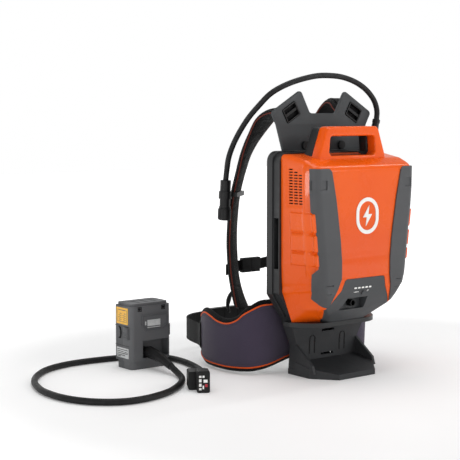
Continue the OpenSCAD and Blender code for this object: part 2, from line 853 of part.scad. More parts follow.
module adapter_shell_front() {
  color("#5b5b5b") translate(adapter_at) intersection() {
    adapter_shell();
    translate([-5, -5, -1]) cube([adapter_w + 10, split + 5, adapter_h + 2]);
  }
}
module adapter_shell_rear() {
  color("#555555") translate(adapter_at) intersection() {
    adapter_shell();
    translate([-5, split, -1]) cube([adapter_w + 10, adapter_depth, adapter_h + 2]);
  }
}

module latch() {
  translate([-5, 9.3, latch_low + 0.3]) cube([8.1, 16.4, latch_h - 0.6]);
  for (z = [3:5:latch_h - 4]) translate([-6, 10.3, latch_low + z]) cube([1.2, 14.4, 2]);
  translate([3, 8, latch_low - 1]) cube([2.4, 20, latch_h + 2]);
}
module adapter_latch_left() {
  color("#4d4d4d") translate(adapter_at) latch();
}
module adapter_latch_right() {
  color("#4d4d4d") translate(adapter_at + [adapter_w, 0, 0]) mirror([1, 0, 0]) latch();
}

module adapter_labels() {
  color("gold") translate(adapter_at) {
    translate([-0.5, 13, 98]) cube([0.5, 44, 36]);
    translate([-0.5, 11, 24]) cube([0.5, 45, 22]);
    translate([42, -0.5, 93.5]) cube([34, 0.5, 13.5]);
  }
}

module adapter_screws() {
  color("silver") translate(adapter_at) for (x = adapter_screw_x) translate([x, 0, screw_z]) {
    rod_y(2.8, 0.2, 1.3);
    rod_y(1.2, 1, 12);
  }
}

module adapter_contacts() {
  color("silver") translate(adapter_at) for (x = terminal_x)
    translate([x + 1, 18, adapter_h - 18]) cube([1, 30, 12]);
}

// Route of the adapter's cable: out of its recess, down to the floor, round and back to the plug
adapter_route = [
  [-292, 292, 37], [-291, 262, 33], [-290, 235, 26], [-291, 208, 17], [-296, 180, 10],
  [-307, 150, 7], [-325, 122, 7], [-350, 95, 7], [-379, 71, 7], [-410, 51, 7],
  [-444, 38, 7], [-480, 31, 7], [-515, 33, 7], [-547, 48, 7], [-573, 73, 7],
  [-591, 105, 7], [-601, 141, 7], [-603, 178, 7], [-600, 215, 7], [-590, 252, 7],
  [-576, 288, 7], [-556, 322, 7], [-531, 352, 7], [-502, 378, 7], [-468, 397, 7],
  [-430, 408, 7], [-391, 411, 7], [-352, 408, 7], [-314, 402, 7], [-277, 394, 7],
  [-244, 378, 7], [-220, 350, 7], [-209, 315, 7], [-209, 279, 7], [-215, 243, 7],
  [-225, 207, 7], [-240, 174, 9], [-260, 143, 13], [-283, 114, 17], [-306, 86, 19]];
plug_yaw = 31;
plug_face = [-344, 24, 0];

relief_d = [26, 24, 20, 16.5];
module adapter_strain_relief() {
  color("#181818") {
    skin([for (i = [0:3]) let (ring = cord_rings([for (k = [0:3]) adapter_route[k]],
      relief_d[i], [0, 0, 1])[i]) ring]);
    translate([adapter_route[0][0], 0, adapter_route[0][2]]) {
      rod_y(9, adapter_route[0][1], adapter_at[1] + 30);
      rod_y(12, adapter_at[1] + 28, adapter_at[1] + 31.5);
    }
  }
}

module adapter_cable() {
  color("#2f2f2f") skin(cord_rings([for (i = [3:len(adapter_route) - 1]) adapter_route[i]],
                                   adapter_d, [0, 0, 1]));
}

// Plug: a narrow contact block in front of a wider housing; -Y of its own frame is the face
module adapter_plug() {
  translate(plug_face) rotate([0, 0, -plug_yaw]) {
    color("#151515") rounded_plug(-13, 13, 0, 30, 0, 44);
    color("#3a3a3a") difference() {
      rounded_plug(-28, 12, 26, 62, 1, 38);
    }
    color("#222222") translate([-8, 0, 19]) rod_y(9.5, 60, 74);
  }
}

module rounded_plug(x0, x1, y0, y1, z0, z1) {
  plate(y0, y1) translate([x0 + 4, z0 + 4]) {
    translate([-4, 0]) square([x1 - x0, z1 - z0 - 8]);
    translate([0, -4]) square([x1 - x0 - 8, z1 - z0]);
    for (x = [0, x1 - x0 - 8], z = [0, z1 - z0 - 8]) translate([x, z]) circle(4);
  }
}

foot_stand();
back_frame();
shoulder_yoke();
yoke_slot_frames();
yoke_screws();
frame_screws();
back_pad();
rear_housing();
front_cover();
handle_rear_shell();
bumper_left();
bumper_right();
vent_screens();
control_panel();
led_lenses();
status_button();
charge_socket();
charge_contacts();
front_badge();
battery_cells();
cell_tray_front();
cell_tray_rear();
bus_bars();
circuit_board();
fan_housing();
fan_rotor();
cable_gland();
power_cable();
tool_connector();
connector_contacts();
lock_collar();
strap_clip();
shoulder_strap_left();
shoulder_strap_right();
strap_adjusters();
lower_webbing_left();
lower_webbing_right();
chest_webbing_left();
chest_webbing_right();
chest_buckle_socket();
chest_buckle_tongue();
lumbar_pad();
hip_wing_left();
hip_wing_right();
hip_webbing_left();
hip_webbing_right();
hip_buckle_socket();
hip_buckle_tongue();
adapter_shell_front();
adapter_shell_rear();
adapter_latch_left();
adapter_latch_right();
adapter_labels();
adapter_screws();
adapter_contacts();
adapter_strain_relief();
adapter_cable();
adapter_plug();
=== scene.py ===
import bmesh
import bpy
from math import copysign, cos, pi, radians, sin
import numpy as np
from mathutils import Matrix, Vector, noise


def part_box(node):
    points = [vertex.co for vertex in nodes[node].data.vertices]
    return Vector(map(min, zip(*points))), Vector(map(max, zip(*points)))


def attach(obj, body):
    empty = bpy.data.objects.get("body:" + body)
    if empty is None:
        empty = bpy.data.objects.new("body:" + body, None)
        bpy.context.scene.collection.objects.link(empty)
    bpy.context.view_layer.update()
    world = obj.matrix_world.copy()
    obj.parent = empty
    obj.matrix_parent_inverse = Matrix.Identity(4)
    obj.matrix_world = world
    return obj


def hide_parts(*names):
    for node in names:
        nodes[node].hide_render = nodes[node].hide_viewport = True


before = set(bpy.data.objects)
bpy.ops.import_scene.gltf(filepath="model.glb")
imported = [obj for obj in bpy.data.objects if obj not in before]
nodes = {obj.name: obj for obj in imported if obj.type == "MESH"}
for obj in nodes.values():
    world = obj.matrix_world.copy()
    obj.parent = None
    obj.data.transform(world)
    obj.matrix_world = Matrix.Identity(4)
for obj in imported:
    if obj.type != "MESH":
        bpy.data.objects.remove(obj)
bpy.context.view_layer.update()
scene = bpy.context.scene
MM = 0.001
SIDES = ((-1, "left"), (1, "right"))


def link(name, data):
    o = bpy.data.objects.new(name, data)
    scene.collection.objects.link(o)
    return o


# ---- camera, floor, light
camera_data = bpy.data.cameras.new("camera")
camera_data.lens = 97.12
camera_data.sensor_width = 36
camera = link("camera", camera_data)
camera.location = (-1.8088, -1.9110, 0.5546)
camera.rotation_euler = (radians(84.611), 0, radians(-38.367))
scene.camera = camera
scene.view_settings.view_transform = "Standard"


def add_light(name, location, target, size, watts):
    data = bpy.data.lights.new(name, "AREA")
    data.shape = "RECTANGLE"
    data.size, data.size_y = size
    data.energy = watts
    o = link(name, data)
    o.location = location
    o.rotation_euler = (Vector(target) - Vector(location)).to_track_quat("-Z", "Y").to_euler()


add_light("key", (1.5, -2.4, 1.7), (0, 0, 0.28), (1.3, 1.1), 26)
add_light("left_strip", (-2.3, -0.4, 0.5), (-0.05, 0, 0.3), (0.1, 1.2), 5)
add_light("top", (-0.2, 0.2, 2.3), (-0.1, 0, 0.2), (2.0, 1.5), 24)
add_light("ridge", (1.5, -0.1, 2.1), (0, -0.07, 0.45), (0.16, 0.9), 6)
add_light("back", (-0.4, 2.4, 1.4), (0, 0, 0.3), (1.8, 1.0), 8)

# a studio sky: white at the horizon, dimmer overhead; the two heights and the strength at each
SKY_FADE = (0.12, 0.5, 1.0, 0.30)
world = bpy.data.worlds.new("studio")
scene.world = world
world.use_nodes = True
sky = world.node_tree
height = sky.nodes.new("ShaderNodeSeparateXYZ")
sky.links.new(sky.nodes.new("ShaderNodeTexCoord").outputs["Generated"], height.inputs[0])
fade = sky.nodes.new("ShaderNodeMapRange")
for socket, value in zip(fade.inputs[1:5], SKY_FADE):
    socket.default_value = value
sky.links.new(height.outputs[2], fade.inputs[0])
sky.links.new(fade.outputs[0], sky.nodes["Background"].inputs["Strength"])
sky.nodes["Background"].inputs["Color"].default_value = (1, 1, 1, 1)


# ---- materials
def linear(hex_colour):
    out = []
    for i in (0, 2, 4):
        c = int(hex_colour[i:i + 2], 16) / 255
        out.append(c / 12.92 if c <= 0.04045 else ((c + 0.055) / 1.055) ** 2.4)
    return (*out, 1)


def shade(hex_colour, factor):
    return tuple(c * factor for c in linear(hex_colour)[:3]) + (1,)


class Shader:
    """A Principled material and short calls for the nodes that feed it."""

    def __init__(self, name, roughness=0.5, metallic=0.0, coat=0.0, coat_roughness=0.1,
                 sheen=0.0, specular=0.5):
        self.material = bpy.data.materials.new(name)
        self.material.use_nodes = True
        self.tree = self.material.node_tree
        self.out = self.tree.nodes["Principled BSDF"]
        for key, value in (("Roughness", roughness), ("Metallic", metallic),
                           ("Coat Weight", coat), ("Coat Roughness", coat_roughness),
                           ("Sheen Weight", sheen), ("Specular IOR Level", specular)):
            self.out.inputs[key].default_value = value
        self.space = self.tree.nodes.new("ShaderNodeTexCoord").outputs["Object"]

    def node(self, kind, **settings):
        n = self.tree.nodes.new("ShaderNode" + kind)
        for key, value in settings.items():
            setattr(n, key, value)
        return n

    def put(self, socket, value):
        if isinstance(value, bpy.types.NodeSocket):
            self.tree.links.new(value, socket)
        else:
            socket.default_value = value

    def uv(self):
        return self.node("UVMap", uv_map="weave").outputs["UV"]

    def noise(self, scale, detail=3.0, rough=0.55):
        n = self.node("TexNoise")
        for key, value in (("Vector", self.space), ("Scale", scale), ("Detail", detail),
                           ("Roughness", rough)):
            self.put(n.inputs[key], value)
        return n.outputs["Fac"]

    def cells(self, scale):
        n = self.node("TexVoronoi")
        self.put(n.inputs["Vector"], self.space)
        n.inputs["Scale"].default_value = scale
        return n.outputs["Distance"]

    def math(self, operation, a, b=0.0):
        n = self.node("Math", operation=operation)
        for socket, value in zip(n.inputs, (a, b)):
            self.put(socket, value)
        return n.outputs[0]

    def remap(self, value, low, high, to_low=0.0, to_high=1.0):
        n = self.node("MapRange")
        for socket, v in zip(n.inputs, (value, low, high, to_low, to_high)):
            self.put(socket, v)
        return n.outputs[0]

    def mix(self, factor, a, b):
        n = self.node("Mix", data_type="RGBA")
        self.put(n.inputs[0], factor)
        self.put(n.inputs[6], a)
        self.put(n.inputs[7], b)
        return n.outputs[2]

    def split(self, vector):
        n = self.node("SeparateXYZ")
        self.put(n.inputs[0], vector)
        return n.outputs

    def bump(self, height, distance, strength=1.0, under=None):
        n = self.node("Bump")
        n.inputs["Strength"].default_value = strength
        n.inputs["Distance"].default_value = distance
        self.put(n.inputs["Height"], height)
        if under:
            self.put(n.inputs["Normal"], under)
        return n.outputs[0]

    def worn(self, low=0.57, high=0.74):
        """1 on sharp outer edges, 0 elsewhere."""
        return self.remap(self.node("NewGeometry").outputs["Pointiness"], low, high)

    def colour(self, value):
        self.put(self.out.inputs["Base Color"], value)

    def rough(self, value):
        self.put(self.out.inputs["Roughness"], value)

    def normal(self, value):
        self.put(self.out.inputs["Normal"], value)


def moulded(name, base, edge, roughness, grain=700, grain_depth=0.00012, spread=0.05, **kw):
    """Moulded plastic: fine spark-eroded grain, faint mottling, paler worn edges."""
    s = Shader(name, roughness, **kw)
    body = s.mix(s.remap(s.noise(9, 4), 0.35, 0.65), shade(base, 1 - spread), shade(base, 1 + spread))
    scuff = s.math("MULTIPLY", s.worn(), s.remap(s.noise(60, 4), 0.4, 0.65, 0.05, 0.5))
    s.colour(s.mix(scuff, body, linear(edge)))
    s.rough(s.remap(s.noise(35, 4), 0.3, 0.7, roughness - 0.06, roughness + 0.07))
    s.normal(s.bump(s.noise(grain, 3, 0.6), grain_depth, 0.55,
                    s.bump(s.noise(45, 2), 0.0004, 0.12)))
    return s.material


def glossy_orange():
    """Painted cover: clear coat, faint clouding, fine scratches and paler worn edges."""
    s = Shader("orange_cover", 0.3, coat=0.35, coat_roughness=0.05, specular=0.1)
    cloud = s.remap(s.noise(5, 3), 0.35, 0.65)
    body = s.mix(cloud, linear("E0520A"), linear("E75C0F"))
    scuff = s.math("MULTIPLY", s.worn(0.6, 0.78), s.remap(s.noise(80, 4), 0.45, 0.7, 0.0, 0.6))
    s.colour(s.mix(scuff, body, linear("F98040")))
    scratch = s.remap(s.noise(220, 5, 0.7), 0.55, 0.75, 0.0, 0.10)
    s.rough(s.math("ADD", s.remap(s.noise(18, 4), 0.3, 0.7, 0.22, 0.33), scratch))
    s.normal(s.bump(s.noise(420, 2), 0.00006, 0.4, s.bump(s.noise(14, 2), 0.0008, 0.06)))
    return s.material


def woven(name, warp, weft, pitch, depth=0.0002, roughness=0.85, sheen=0.3, fuzz=0.12):
    """Plain weave laid along the piece's own weave map, which is in millimetres."""
    s = Shader(name, roughness, sheen=sheen * 0.3, specular=0.12)
    x, y, _ = s.split(s.uv())
    sx = s.math("SINE", s.math("MULTIPLY", x, pi / pitch))
    sy = s.math("SINE", s.math("MULTIPLY", y, pi / pitch))
    product = s.math("MULTIPLY", sx, sy)
    height = s.math("POWER", s.math("ABSOLUTE", product), 0.6)
    cloth = s.mix(s.remap(product, -0.25, 0.25), linear(warp), linear(weft))
    cloth = s.mix(s.remap(s.noise(7, 4), 0.35, 0.7, 0.0, 0.35), cloth, shade(warp, 0.62))
    lint = s.remap(s.noise(1400, 2), 0.62, 0.75, 0.0, fuzz)
    s.colour(s.mix(lint, cloth, (0.10, 0.10, 0.10, 1)))
    s.rough(s.remap(height, 0.0, 1.0, roughness + 0.08, roughness - 0.08))
    s.normal(s.bump(height, depth, 0.9, s.bump(s.noise(160, 4), 0.0004, 0.35)))
    return s.material


def ribbed_webbing(name, base, pale, rib=1.6, chevron=0.9):
    """Narrow woven webbing: chevron ribs across the band, fine threads along it, with the raised ribs painted
    paler and the grooves darker as painted shade.
    """
    s = Shader(name, 0.72, sheen=0.08, specular=0.15)
    x, y, _ = s.split(s.uv())
    zigzag = s.math("ABSOLUTE", s.math("SUBTRACT", s.math("PINGPONG", y, 4.0), 2.0))
    phase = s.math("ADD", s.math("MULTIPLY", x, pi / rib), s.math("MULTIPLY", zigzag, chevron))
    height = s.math("ABSOLUTE", s.math("SINE", phase))
    threads = s.math("ABSOLUTE", s.math("SINE", s.math("MULTIPLY", y, pi / 0.8)))
    both = s.math("MULTIPLY", s.math("POWER", height, 0.7), s.math("ADD", threads, 0.5))
    # painted shade: colour follows the rib and thread height, paler on the raised tops and darker in the
    # grooves
    body = s.mix(s.remap(both, 0.0, 1.4), linear(base), linear(pale))
    s.colour(s.mix(s.remap(s.noise(30, 4), 0.5, 0.75, 0.0, 0.4), body, linear("181716")))
    s.normal(s.bump(both, 0.0003, 0.9))
    return s.material


def spacer_mesh(name, base, hole_shade_colour, scale=330):
    """Air mesh: small round holes in a soft knit, painted dark inside as painted shade."""
    s = Shader(name, 0.9, sheen=0.08, specular=0.1)
    open_hole = s.remap(s.cells(scale), 0.30, 0.42, 1.0, 0.0)
    knit = s.noise(2600, 2)
    body = s.mix(s.remap(s.noise(12, 4), 0.35, 0.7), linear(base), linear("161617"))
    # painted shade: the holes are filled with a near-black colour for the shade inside them
    s.colour(s.mix(open_hole, body, linear(hole_shade_colour)))
    height = s.math("ADD", s.math("SUBTRACT", 1.0, open_hole), s.math("MULTIPLY", knit, 0.25))
    s.normal(s.bump(height, 0.0005, 0.8))
    return s.material


def rubber(name, base, pale, roughness=0.55):
    """Cable jacket: matt rubber with faint draw lines and dust."""
    s = Shader(name, roughness, specular=0.3)
    dust = s.remap(s.noise(45, 5, 0.65), 0.45, 0.75, 0.0, 0.55)
    s.colour(s.mix(dust, linear(base), linear(pale)))
    s.rough(s.remap(s.noise(120, 4), 0.3, 0.7, roughness - 0.1, roughness + 0.12))
    s.normal(s.bump(s.noise(900, 3), 0.0001, 0.5, s.bump(s.noise(60, 3), 0.0003, 0.25)))
    return s.material


def metal(name, base, roughness=0.32):
    s = Shader(name, roughness, metallic=1.0)
    s.colour(s.mix(s.remap(s.noise(150, 4), 0.4, 0.7), linear(base), shade(base, 0.7)))
    s.rough(s.remap(s.noise(300, 5), 0.3, 0.7, roughness - 0.1, roughness + 0.15))
    s.normal(s.bump(s.noise(1200, 3), 0.00005, 0.4))
    return s.material


def film(name, base, mark, roughness=0.35):
    """Printed film: slight ink mottle and a faint dot screen."""
    s = Shader(name, roughness, coat=0.3, coat_roughness=0.2)
    s.colour(s.mix(s.remap(s.noise(90, 4), 0.35, 0.7), linear(base), linear(mark)))
    s.rough(s.remap(s.noise(70, 4), 0.3, 0.7, roughness - 0.08, roughness + 0.1))
    s.normal(s.bump(s.noise(500, 2), 0.00006, 0.35))
    return s.material


def studio_floor():
    """Pale floor that glows more with distance, so that it meets the sky without an edge."""
    s = Shader("studio_floor", 0.6, specular=0.25)
    s.colour(s.mix(s.remap(s.noise(1.5, 3), 0.4, 0.6), (0.86, 0.86, 0.86, 1), (0.90, 0.90, 0.90, 1)))
    s.normal(s.bump(s.noise(300, 3), 0.0002, 0.08))
    x, y, _ = s.split(s.space)
    far = s.math("SQRT", s.math("ADD", s.math("MULTIPLY", x, x), s.math("MULTIPLY", y, y)))
    s.out.inputs["Emission Color"].default_value = (1, 1, 1, 1)
    s.put(s.out.inputs["Emission Strength"], s.remap(far, 0.7, 1.5, 0.13, 0.9))
    return s.material


ORANGE = glossy_orange()
BUMPER = moulded("bumper_grey", "47484A", "77787A", 0.5, grain=620, grain_depth=0.00018, specular=0.35)
FRAME = moulded("frame_grey", "242526", "525355", 0.45, specular=0.35)
YOKE = moulded("yoke_grey", "3A3D3F", "55575A", 0.55, grain=560, grain_depth=0.0002, specular=0.35)
FOOT = moulded("foot_grey", "2D2E30", "4C4D4F", 0.55, grain=560, grain_depth=0.0002, specular=0.35)
PANEL = moulded("panel_grey", "404244", "606265", 0.45, specular=0.35)
BLACK = moulded("black_nylon", "0D0D0E", "2C2C2E", 0.42, specular=0.3)
SOCKET = moulded("socket_black", "070708", "1C1C1E", 0.3, specular=0.3)
ADAPTER = moulded("adapter_grey", "5C5D5F", "77787A", 0.5, grain=650, specular=0.35)
ADAPTER_DARK = moulded("adapter_dark", "505153", "68696B", 0.5, grain=650, specular=0.35)
MARK = moulded("mark_white", "E9E9E6", "FFFFFF", 0.42, spread=0.03)
RED_MARK = moulded("mark_red", "B0182A", "C83040", 0.42, spread=0.03)
LENS = moulded("lens_white", "F2F2EE", "FFFFFF", 0.25, spread=0.02, coat=0.4)
TRAY = moulded("tray_ivory", "D9D6C8", "F0EDE2", 0.5)
WRAP = film("cell_wrap", "2F6FB4", "3C7EC2")
BOARD = film("board_green", "14502E", "1B6138")
STEEL = metal("steel", "B8BABC")
GOLD = metal("contact_gold", "C9A24A", 0.25)
CABLE = rubber("cable_rubber", "0F0F10", "262627")
BLACK_STEEL = metal("black_steel", "2A2A2C")
RELIEF = rubber("relief_rubber", "0B0B0C", "1E1E1F", 0.5)
PIPING = woven("piping_orange", "E85A18", "D24C12", 0.7, roughness=0.6, fuzz=0.05)
STRAP_PIPING = woven("piping_red", "6E2A1C", "5A2218", 0.7, roughness=0.65, fuzz=0.05)
BELT = woven("belt_fabric", "4A4254", "393242", 0.65, roughness=0.62, sheen=0.5, fuzz=0.05)
STRAP = woven("strap_fabric", "070708", "030304", 0.9, roughness=0.8)
LINING = woven("lining_fabric", "0B0B0B", "050505", 0.8)
AIR_MESH = spacer_mesh("air_mesh", "0D0D0E", "020202")
WEBBING = ribbed_webbing("webbing_black", "030304", "0C0C0D")
THREAD = woven("thread_grey", "2E2E30", "222224", 0.3, fuzz=0.0)
YELLOW = film("label_yellow", "F2B705", "E5A800")
SILVER = film("label_silver", "C9CBCB", "B7B9B9", 0.3)
INK = film("label_ink", "3A3A3A", "303030")

floor_mesh = bpy.data.meshes.new("floor")
floor_mesh.from_pydata([(-8, -8, 0), (8, -8, 0), (8, 8, 0), (-8, 8, 0)], [], [(0, 1, 2, 3)])
floor_mesh.materials.append(studio_floor())
link("floor", floor_mesh)


# ---- helpers, in millimetres
def unit(v):
    return v / np.maximum(np.linalg.norm(v, axis=-1, keepdims=True), 1e-9)


def smooth_route(route, step):
    """Catmull-Rom through a route's points, about step apart; columns past the third ride along."""
    p = np.array(route, float)
    p = np.vstack([2 * p[0] - p[1], p, 2 * p[-1] - p[-2]])
    out = []
    for a, b, c, d in zip(p[:-3], p[1:-2], p[2:-1], p[3:]):
        n = max(1, int(round(np.linalg.norm((c - b)[:3]) / step)))
        for t in np.arange(n) / n:
            out.append(0.5 * (2 * b + (c - a) * t + (2 * a - 5 * b + 4 * c - d) * t * t
                              + (3 * b - a - 3 * c + d) * t ** 3))
    out.append(p[-2])
    return np.array(out)


def run_length(points):
    steps = np.linalg.norm(np.diff(points[:, :3], axis=0), axis=1)
    return np.concatenate([[0], np.cumsum(steps)])


def bell(x, centre, width):
    return np.exp(-((np.asarray(x, float) - centre) / width) ** 2)


def ramp(x, low, high):
    t = np.clip((np.asarray(x, float) - low) / (high - low), 0, 1)
    return t * t * (3 - 2 * t)


def smooth_shade(mesh):
    mesh.polygons.foreach_set("use_smooth", [True] * len(mesh.polygons))


def place(name, data, body, replaces=()):
    """A new piece: which body it rides and the CAD nodes it stands for."""
    o = link(name, data)
    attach(o, body)
    if replaces:
        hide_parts(*replaces)
    return o


def register(name, mesh, material, body, replaces=()):
    mesh.materials.append(material)
    smooth_shade(mesh)
    mesh.set_sharp_from_angle(angle=radians(40))
    return place(name, mesh, body, replaces)


def face_outward(mesh):
    fix = bmesh.new()
    fix.from_mesh(mesh)
    bmesh.ops.recalc_face_normals(fix, faces=fix.faces)
    fix.to_mesh(mesh)
    fix.free()
    return mesh


def finished_mesh(o):
    bpy.context.view_layer.update()
    return bpy.data.meshes.new_from_object(o.evaluated_get(bpy.context.evaluated_depsgraph_get()))


def mesh_from(name, verts, faces, uvs=None):
    mesh = bpy.data.meshes.new(name)
    mesh.from_pydata([tuple(v) for v in np.asarray(verts) * MM], [], faces)
    if uvs is not None:
        layer = mesh.uv_layers.new(name="weave")
        layer.data.foreach_set("uv", np.asarray(uvs, np.float32).ravel())
    mesh.validate()
    mesh.update()
    return mesh


def loft(name, rings, material, body, replaces=()):
    """Closed solid through rings of equal length, with a weave map: along, round."""
    rings = np.asarray(rings, float)
    r, m = rings.shape[:2]
    along = run_length(rings.mean(axis=1))
    middle = rings[r // 2]
    gaps = np.linalg.norm(np.roll(middle, -1, axis=0) - middle, axis=1)
    around = np.concatenate([[0], np.cumsum(gaps)])
    faces, uvs = [], []
    for i in range(r - 1):
        for j in range(m):
            k = (j + 1) % m
            faces.append((i * m + j, i * m + k, (i + 1) * m + k, (i + 1) * m + j))
            uvs += [(along[i], around[j]), (along[i], around[j + 1]),
                    (along[i + 1], around[j + 1]), (along[i + 1], around[j])]
    for start, order in ((0, range(m - 1, -1, -1)), ((r - 1) * m, range(m))):
        faces.append(tuple(start + j for j in order))
        uvs += [(along[0 if start == 0 else -1] + 3 * cos(j), around[j]) for j in order]
    mesh = face_outward(mesh_from(name, rings.reshape(-1, 3), faces, uvs))
    return register(name, mesh, material, body, replaces)


def steady_frames(points):
    """Tangents and two steady side ways along a path, carried without twist."""
    t = unit(np.gradient(points, axis=0))
    u = np.zeros_like(t)
    u[0] = unit(np.cross(t[0], (0, 0, 1) if abs(t[0][2]) < 0.9 else (1, 0, 0)))
    for i in range(1, len(t)):
        u[i] = unit(u[i - 1] - np.dot(u[i - 1], t[i]) * t[i])
    return t, u, np.cross(t, u)


def tube(name, points, radius, material, body, sides=8):
    points = np.asarray(points, float)
    _, u, v = steady_frames(points)
    a = np.arange(sides) * 2 * pi / sides
    radius = np.broadcast_to(radius, len(points))
    rings = (points[:, None] + radius[:, None, None]
             * (np.cos(a)[None, :, None] * u[:, None] + np.sin(a)[None, :, None] * v[:, None]))
    return loft(name, rings, material, body)


def stitches(name, points, outward, body, length=2.8, gap=1.7, radius=0.42):
    """A row of separate thread stitches lying on a surface along a path."""
    s = run_length(points)
    verts, faces, uvs = [], [], []
    for a in np.arange(gap, s[-1] - length, length + gap):
        start, end = (np.array([np.interp(a + length * f, s, points[:, k]) for k in range(3)])
                      for f in (0, 1))
        n = unit(np.array([np.interp(a + length / 2, s, outward[:, k]) for k in range(3)]))
        side = np.cross(n, unit(end - start))
        base = len(verts)
        for f, rr in ((0.0, 0.35), (0.18, 1.0), (0.82, 1.0), (1.0, 0.35)):
            c = start + (end - start) * f
            verts += [c + radius * rr * (cos(a6) * side + sin(a6) * n)
                      for a6 in (q * pi / 3 for q in range(6))]
        for ring in range(3):
            for q in range(6):
                w = (q + 1) % 6
                faces.append((base + ring * 6 + q, base + ring * 6 + w,
                              base + ring * 6 + 6 + w, base + ring * 6 + 6 + q))
                uvs += [(ring, q), (ring, q + 1), (ring + 1, q + 1), (ring + 1, q)]
        faces += [tuple(base + q for q in range(5, -1, -1)), tuple(base + 18 + q for q in range(6))]
        uvs += [(0, 0)] * 12
    return register(name, mesh_from(name, verts, faces, uvs), THREAD, body)


def arc(c, r, a0, a1, n):
    angles = [radians(a0 + (a1 - a0) * i / n) for i in range(n + 1)]
    return [(c[0] + r * cos(a), c[1] + r * sin(a)) for a in angles]


def both_sides(points):
    return list(points) + [(-x, z) for x, z in reversed(points)]


def plate(name, outlines, y0, y1, round_edge, material, body, replaces=()):
    """Upright plate with rounded edges: the first outline is the edge, the rest are holes (X and Z)."""
    data = bpy.data.curves.new(name, "CURVE")
    data.dimensions = "2D"
    data.fill_mode = "BOTH"
    data.extrude = ((y1 - y0) / 2 - round_edge) * MM
    data.bevel_depth = round_edge * MM
    data.bevel_resolution = 3
    data.offset = -round_edge * MM
    for outline in outlines:
        spline = data.splines.new("POLY")
        spline.points.add(len(outline) - 1)
        for point, (x, z) in zip(spline.points, outline):
            point.co = (x * MM, z * MM, 0, 1)
        spline.use_cyclic_u = True
    holder = link(name + "_outline", data)
    mesh = finished_mesh(holder)
    bpy.data.objects.remove(holder)
    mesh.name = name
    mesh.materials.clear()
    fix = bmesh.new()
    fix.from_mesh(mesh)
    bmesh.ops.remove_doubles(fix, verts=fix.verts, dist=1e-6)
    for v in fix.verts:
        v.co = Vector((v.co.x, (y0 + y1) / 2 * MM - v.co.z, v.co.y))
    bmesh.ops.recalc_face_normals(fix, faces=fix.faces)
    fix.to_mesh(mesh)
    fix.free()
    return register(name, mesh, material, body, replaces)


def with_modifiers(o):
    """Applies a piece's modifiers to its mesh."""
    mesh = finished_mesh(o)
    mesh.name = o.data.name
    o.modifiers.clear()
    o.data = mesh


# ---- cords
POWER_ROUTE = [
    (147, 40, 540), (149, 41, 560), (140, 42, 583), (118, 44, 605), (88, 46, 621),
    (52, 48, 631), (17, 50, 634), (-18, 52, 633), (-52, 55, 627), (-85, 59, 618),
    (-114, 65, 606), (-132, 76, 592), (-140, 98, 571), (-143, 128, 546), (-146, 155, 516),
    (-148, 177, 485), (-148, 192, 457), (-145, 202, 430), (-144, 207, 409)]
ADAPTER_ROUTE = [
    (-291, 208, 17), (-296, 180, 10),
    (-307, 150, 7), (-325, 122, 7), (-350, 95, 7), (-379, 71, 7), (-410, 51, 7),
    (-444, 38, 7), (-480, 31, 7), (-515, 33, 7), (-547, 48, 7), (-573, 73, 7),
    (-591, 105, 7), (-601, 141, 7), (-603, 178, 7), (-600, 215, 7), (-590, 252, 7),
    (-576, 288, 7), (-556, 322, 7), (-531, 352, 7), (-502, 378, 7), (-468, 397, 7),
    (-430, 408, 7), (-391, 411, 7), (-352, 408, 7), (-314, 402, 7), (-277, 394, 7),
    (-244, 378, 7), (-220, 350, 7), (-209, 315, 7), (-209, 279, 7), (-215, 243, 7),
    (-225, 207, 7), (-240, 174, 9), (-260, 143, 13), (-283, 114, 17), (-306, 86, 19)]


def cord_curve(name, route, diameter, body, replaces):
    points = smooth_route(route, 6)
    data = bpy.data.curves.new(name, "CURVE")
    data.dimensions = "3D"
    data.bevel_depth = diameter / 2 * MM
    data.bevel_resolution = 6
    data.use_fill_caps = True
    spline = data.splines.new("POLY")
    spline.points.add(len(points) - 1)
    for point, p in zip(spline.points, points):
        point.co = (*(p * MM), 1)
    spline.use_smooth = True
    data.materials.append(CABLE)
    return place(name, data, body, [replaces])


power_cable = cord_curve("power_cord", POWER_ROUTE, 12, "pack", "power_cable")
adapter_cable = cord_curve("adapter_cord", ADAPTER_ROUTE, 13.5, "adapter", "adapter_cable")

# ---- CAD nodes that stay
KEPT = {
    FOOT: {"foot_stand": 1.6},
    FRAME: {"back_frame": 1.6, "rear_housing": 1.4},
    BLACK: {"yoke_slot_frames": 0.8, "yoke_screws": 1.0, "cable_gland": 0.6, "strap_clip": 0.6,
            "tool_connector": 0.8, "lock_collar": 0.5, "chest_buckle_socket": 1.2,
            "chest_buckle_tongue": 1.0, "hip_buckle_socket": 1.5, "hip_buckle_tongue": 1.2,
            "fan_housing": 0.5, "fan_rotor": 0.3, "adapter_plug": 1.2},
    SOCKET: {"charge_socket": 0.4, "vent_screens": 0.2},
    PANEL: {"control_panel": 0.8, "status_button": 0.5},
    BUMPER: {"strap_adjusters": 1.4},
    ADAPTER: {"adapter_shell_front": 2.6, "adapter_latch_left": 0.6, "adapter_latch_right": 0.6},
    ADAPTER_DARK: {"adapter_shell_rear": 2.6},
    STEEL: {"frame_screws": 0.4, "adapter_contacts": 0.15, "bus_bars": 0.1},
    GOLD: {"charge_contacts": 0.2, "connector_contacts": 0.2},
    LENS: {"led_lenses": 0.3}, BLACK_STEEL: {"adapter_screws": 0.3},
    MARK: {"front_badge": 0.35},
    WRAP: {"battery_cells": 0.5}, TRAY: {"cell_tray_front": 0.5, "cell_tray_rear": 0.5},
    BOARD: {"circuit_board": 0.2}, RELIEF: {"adapter_strain_relief": 0.8},
}


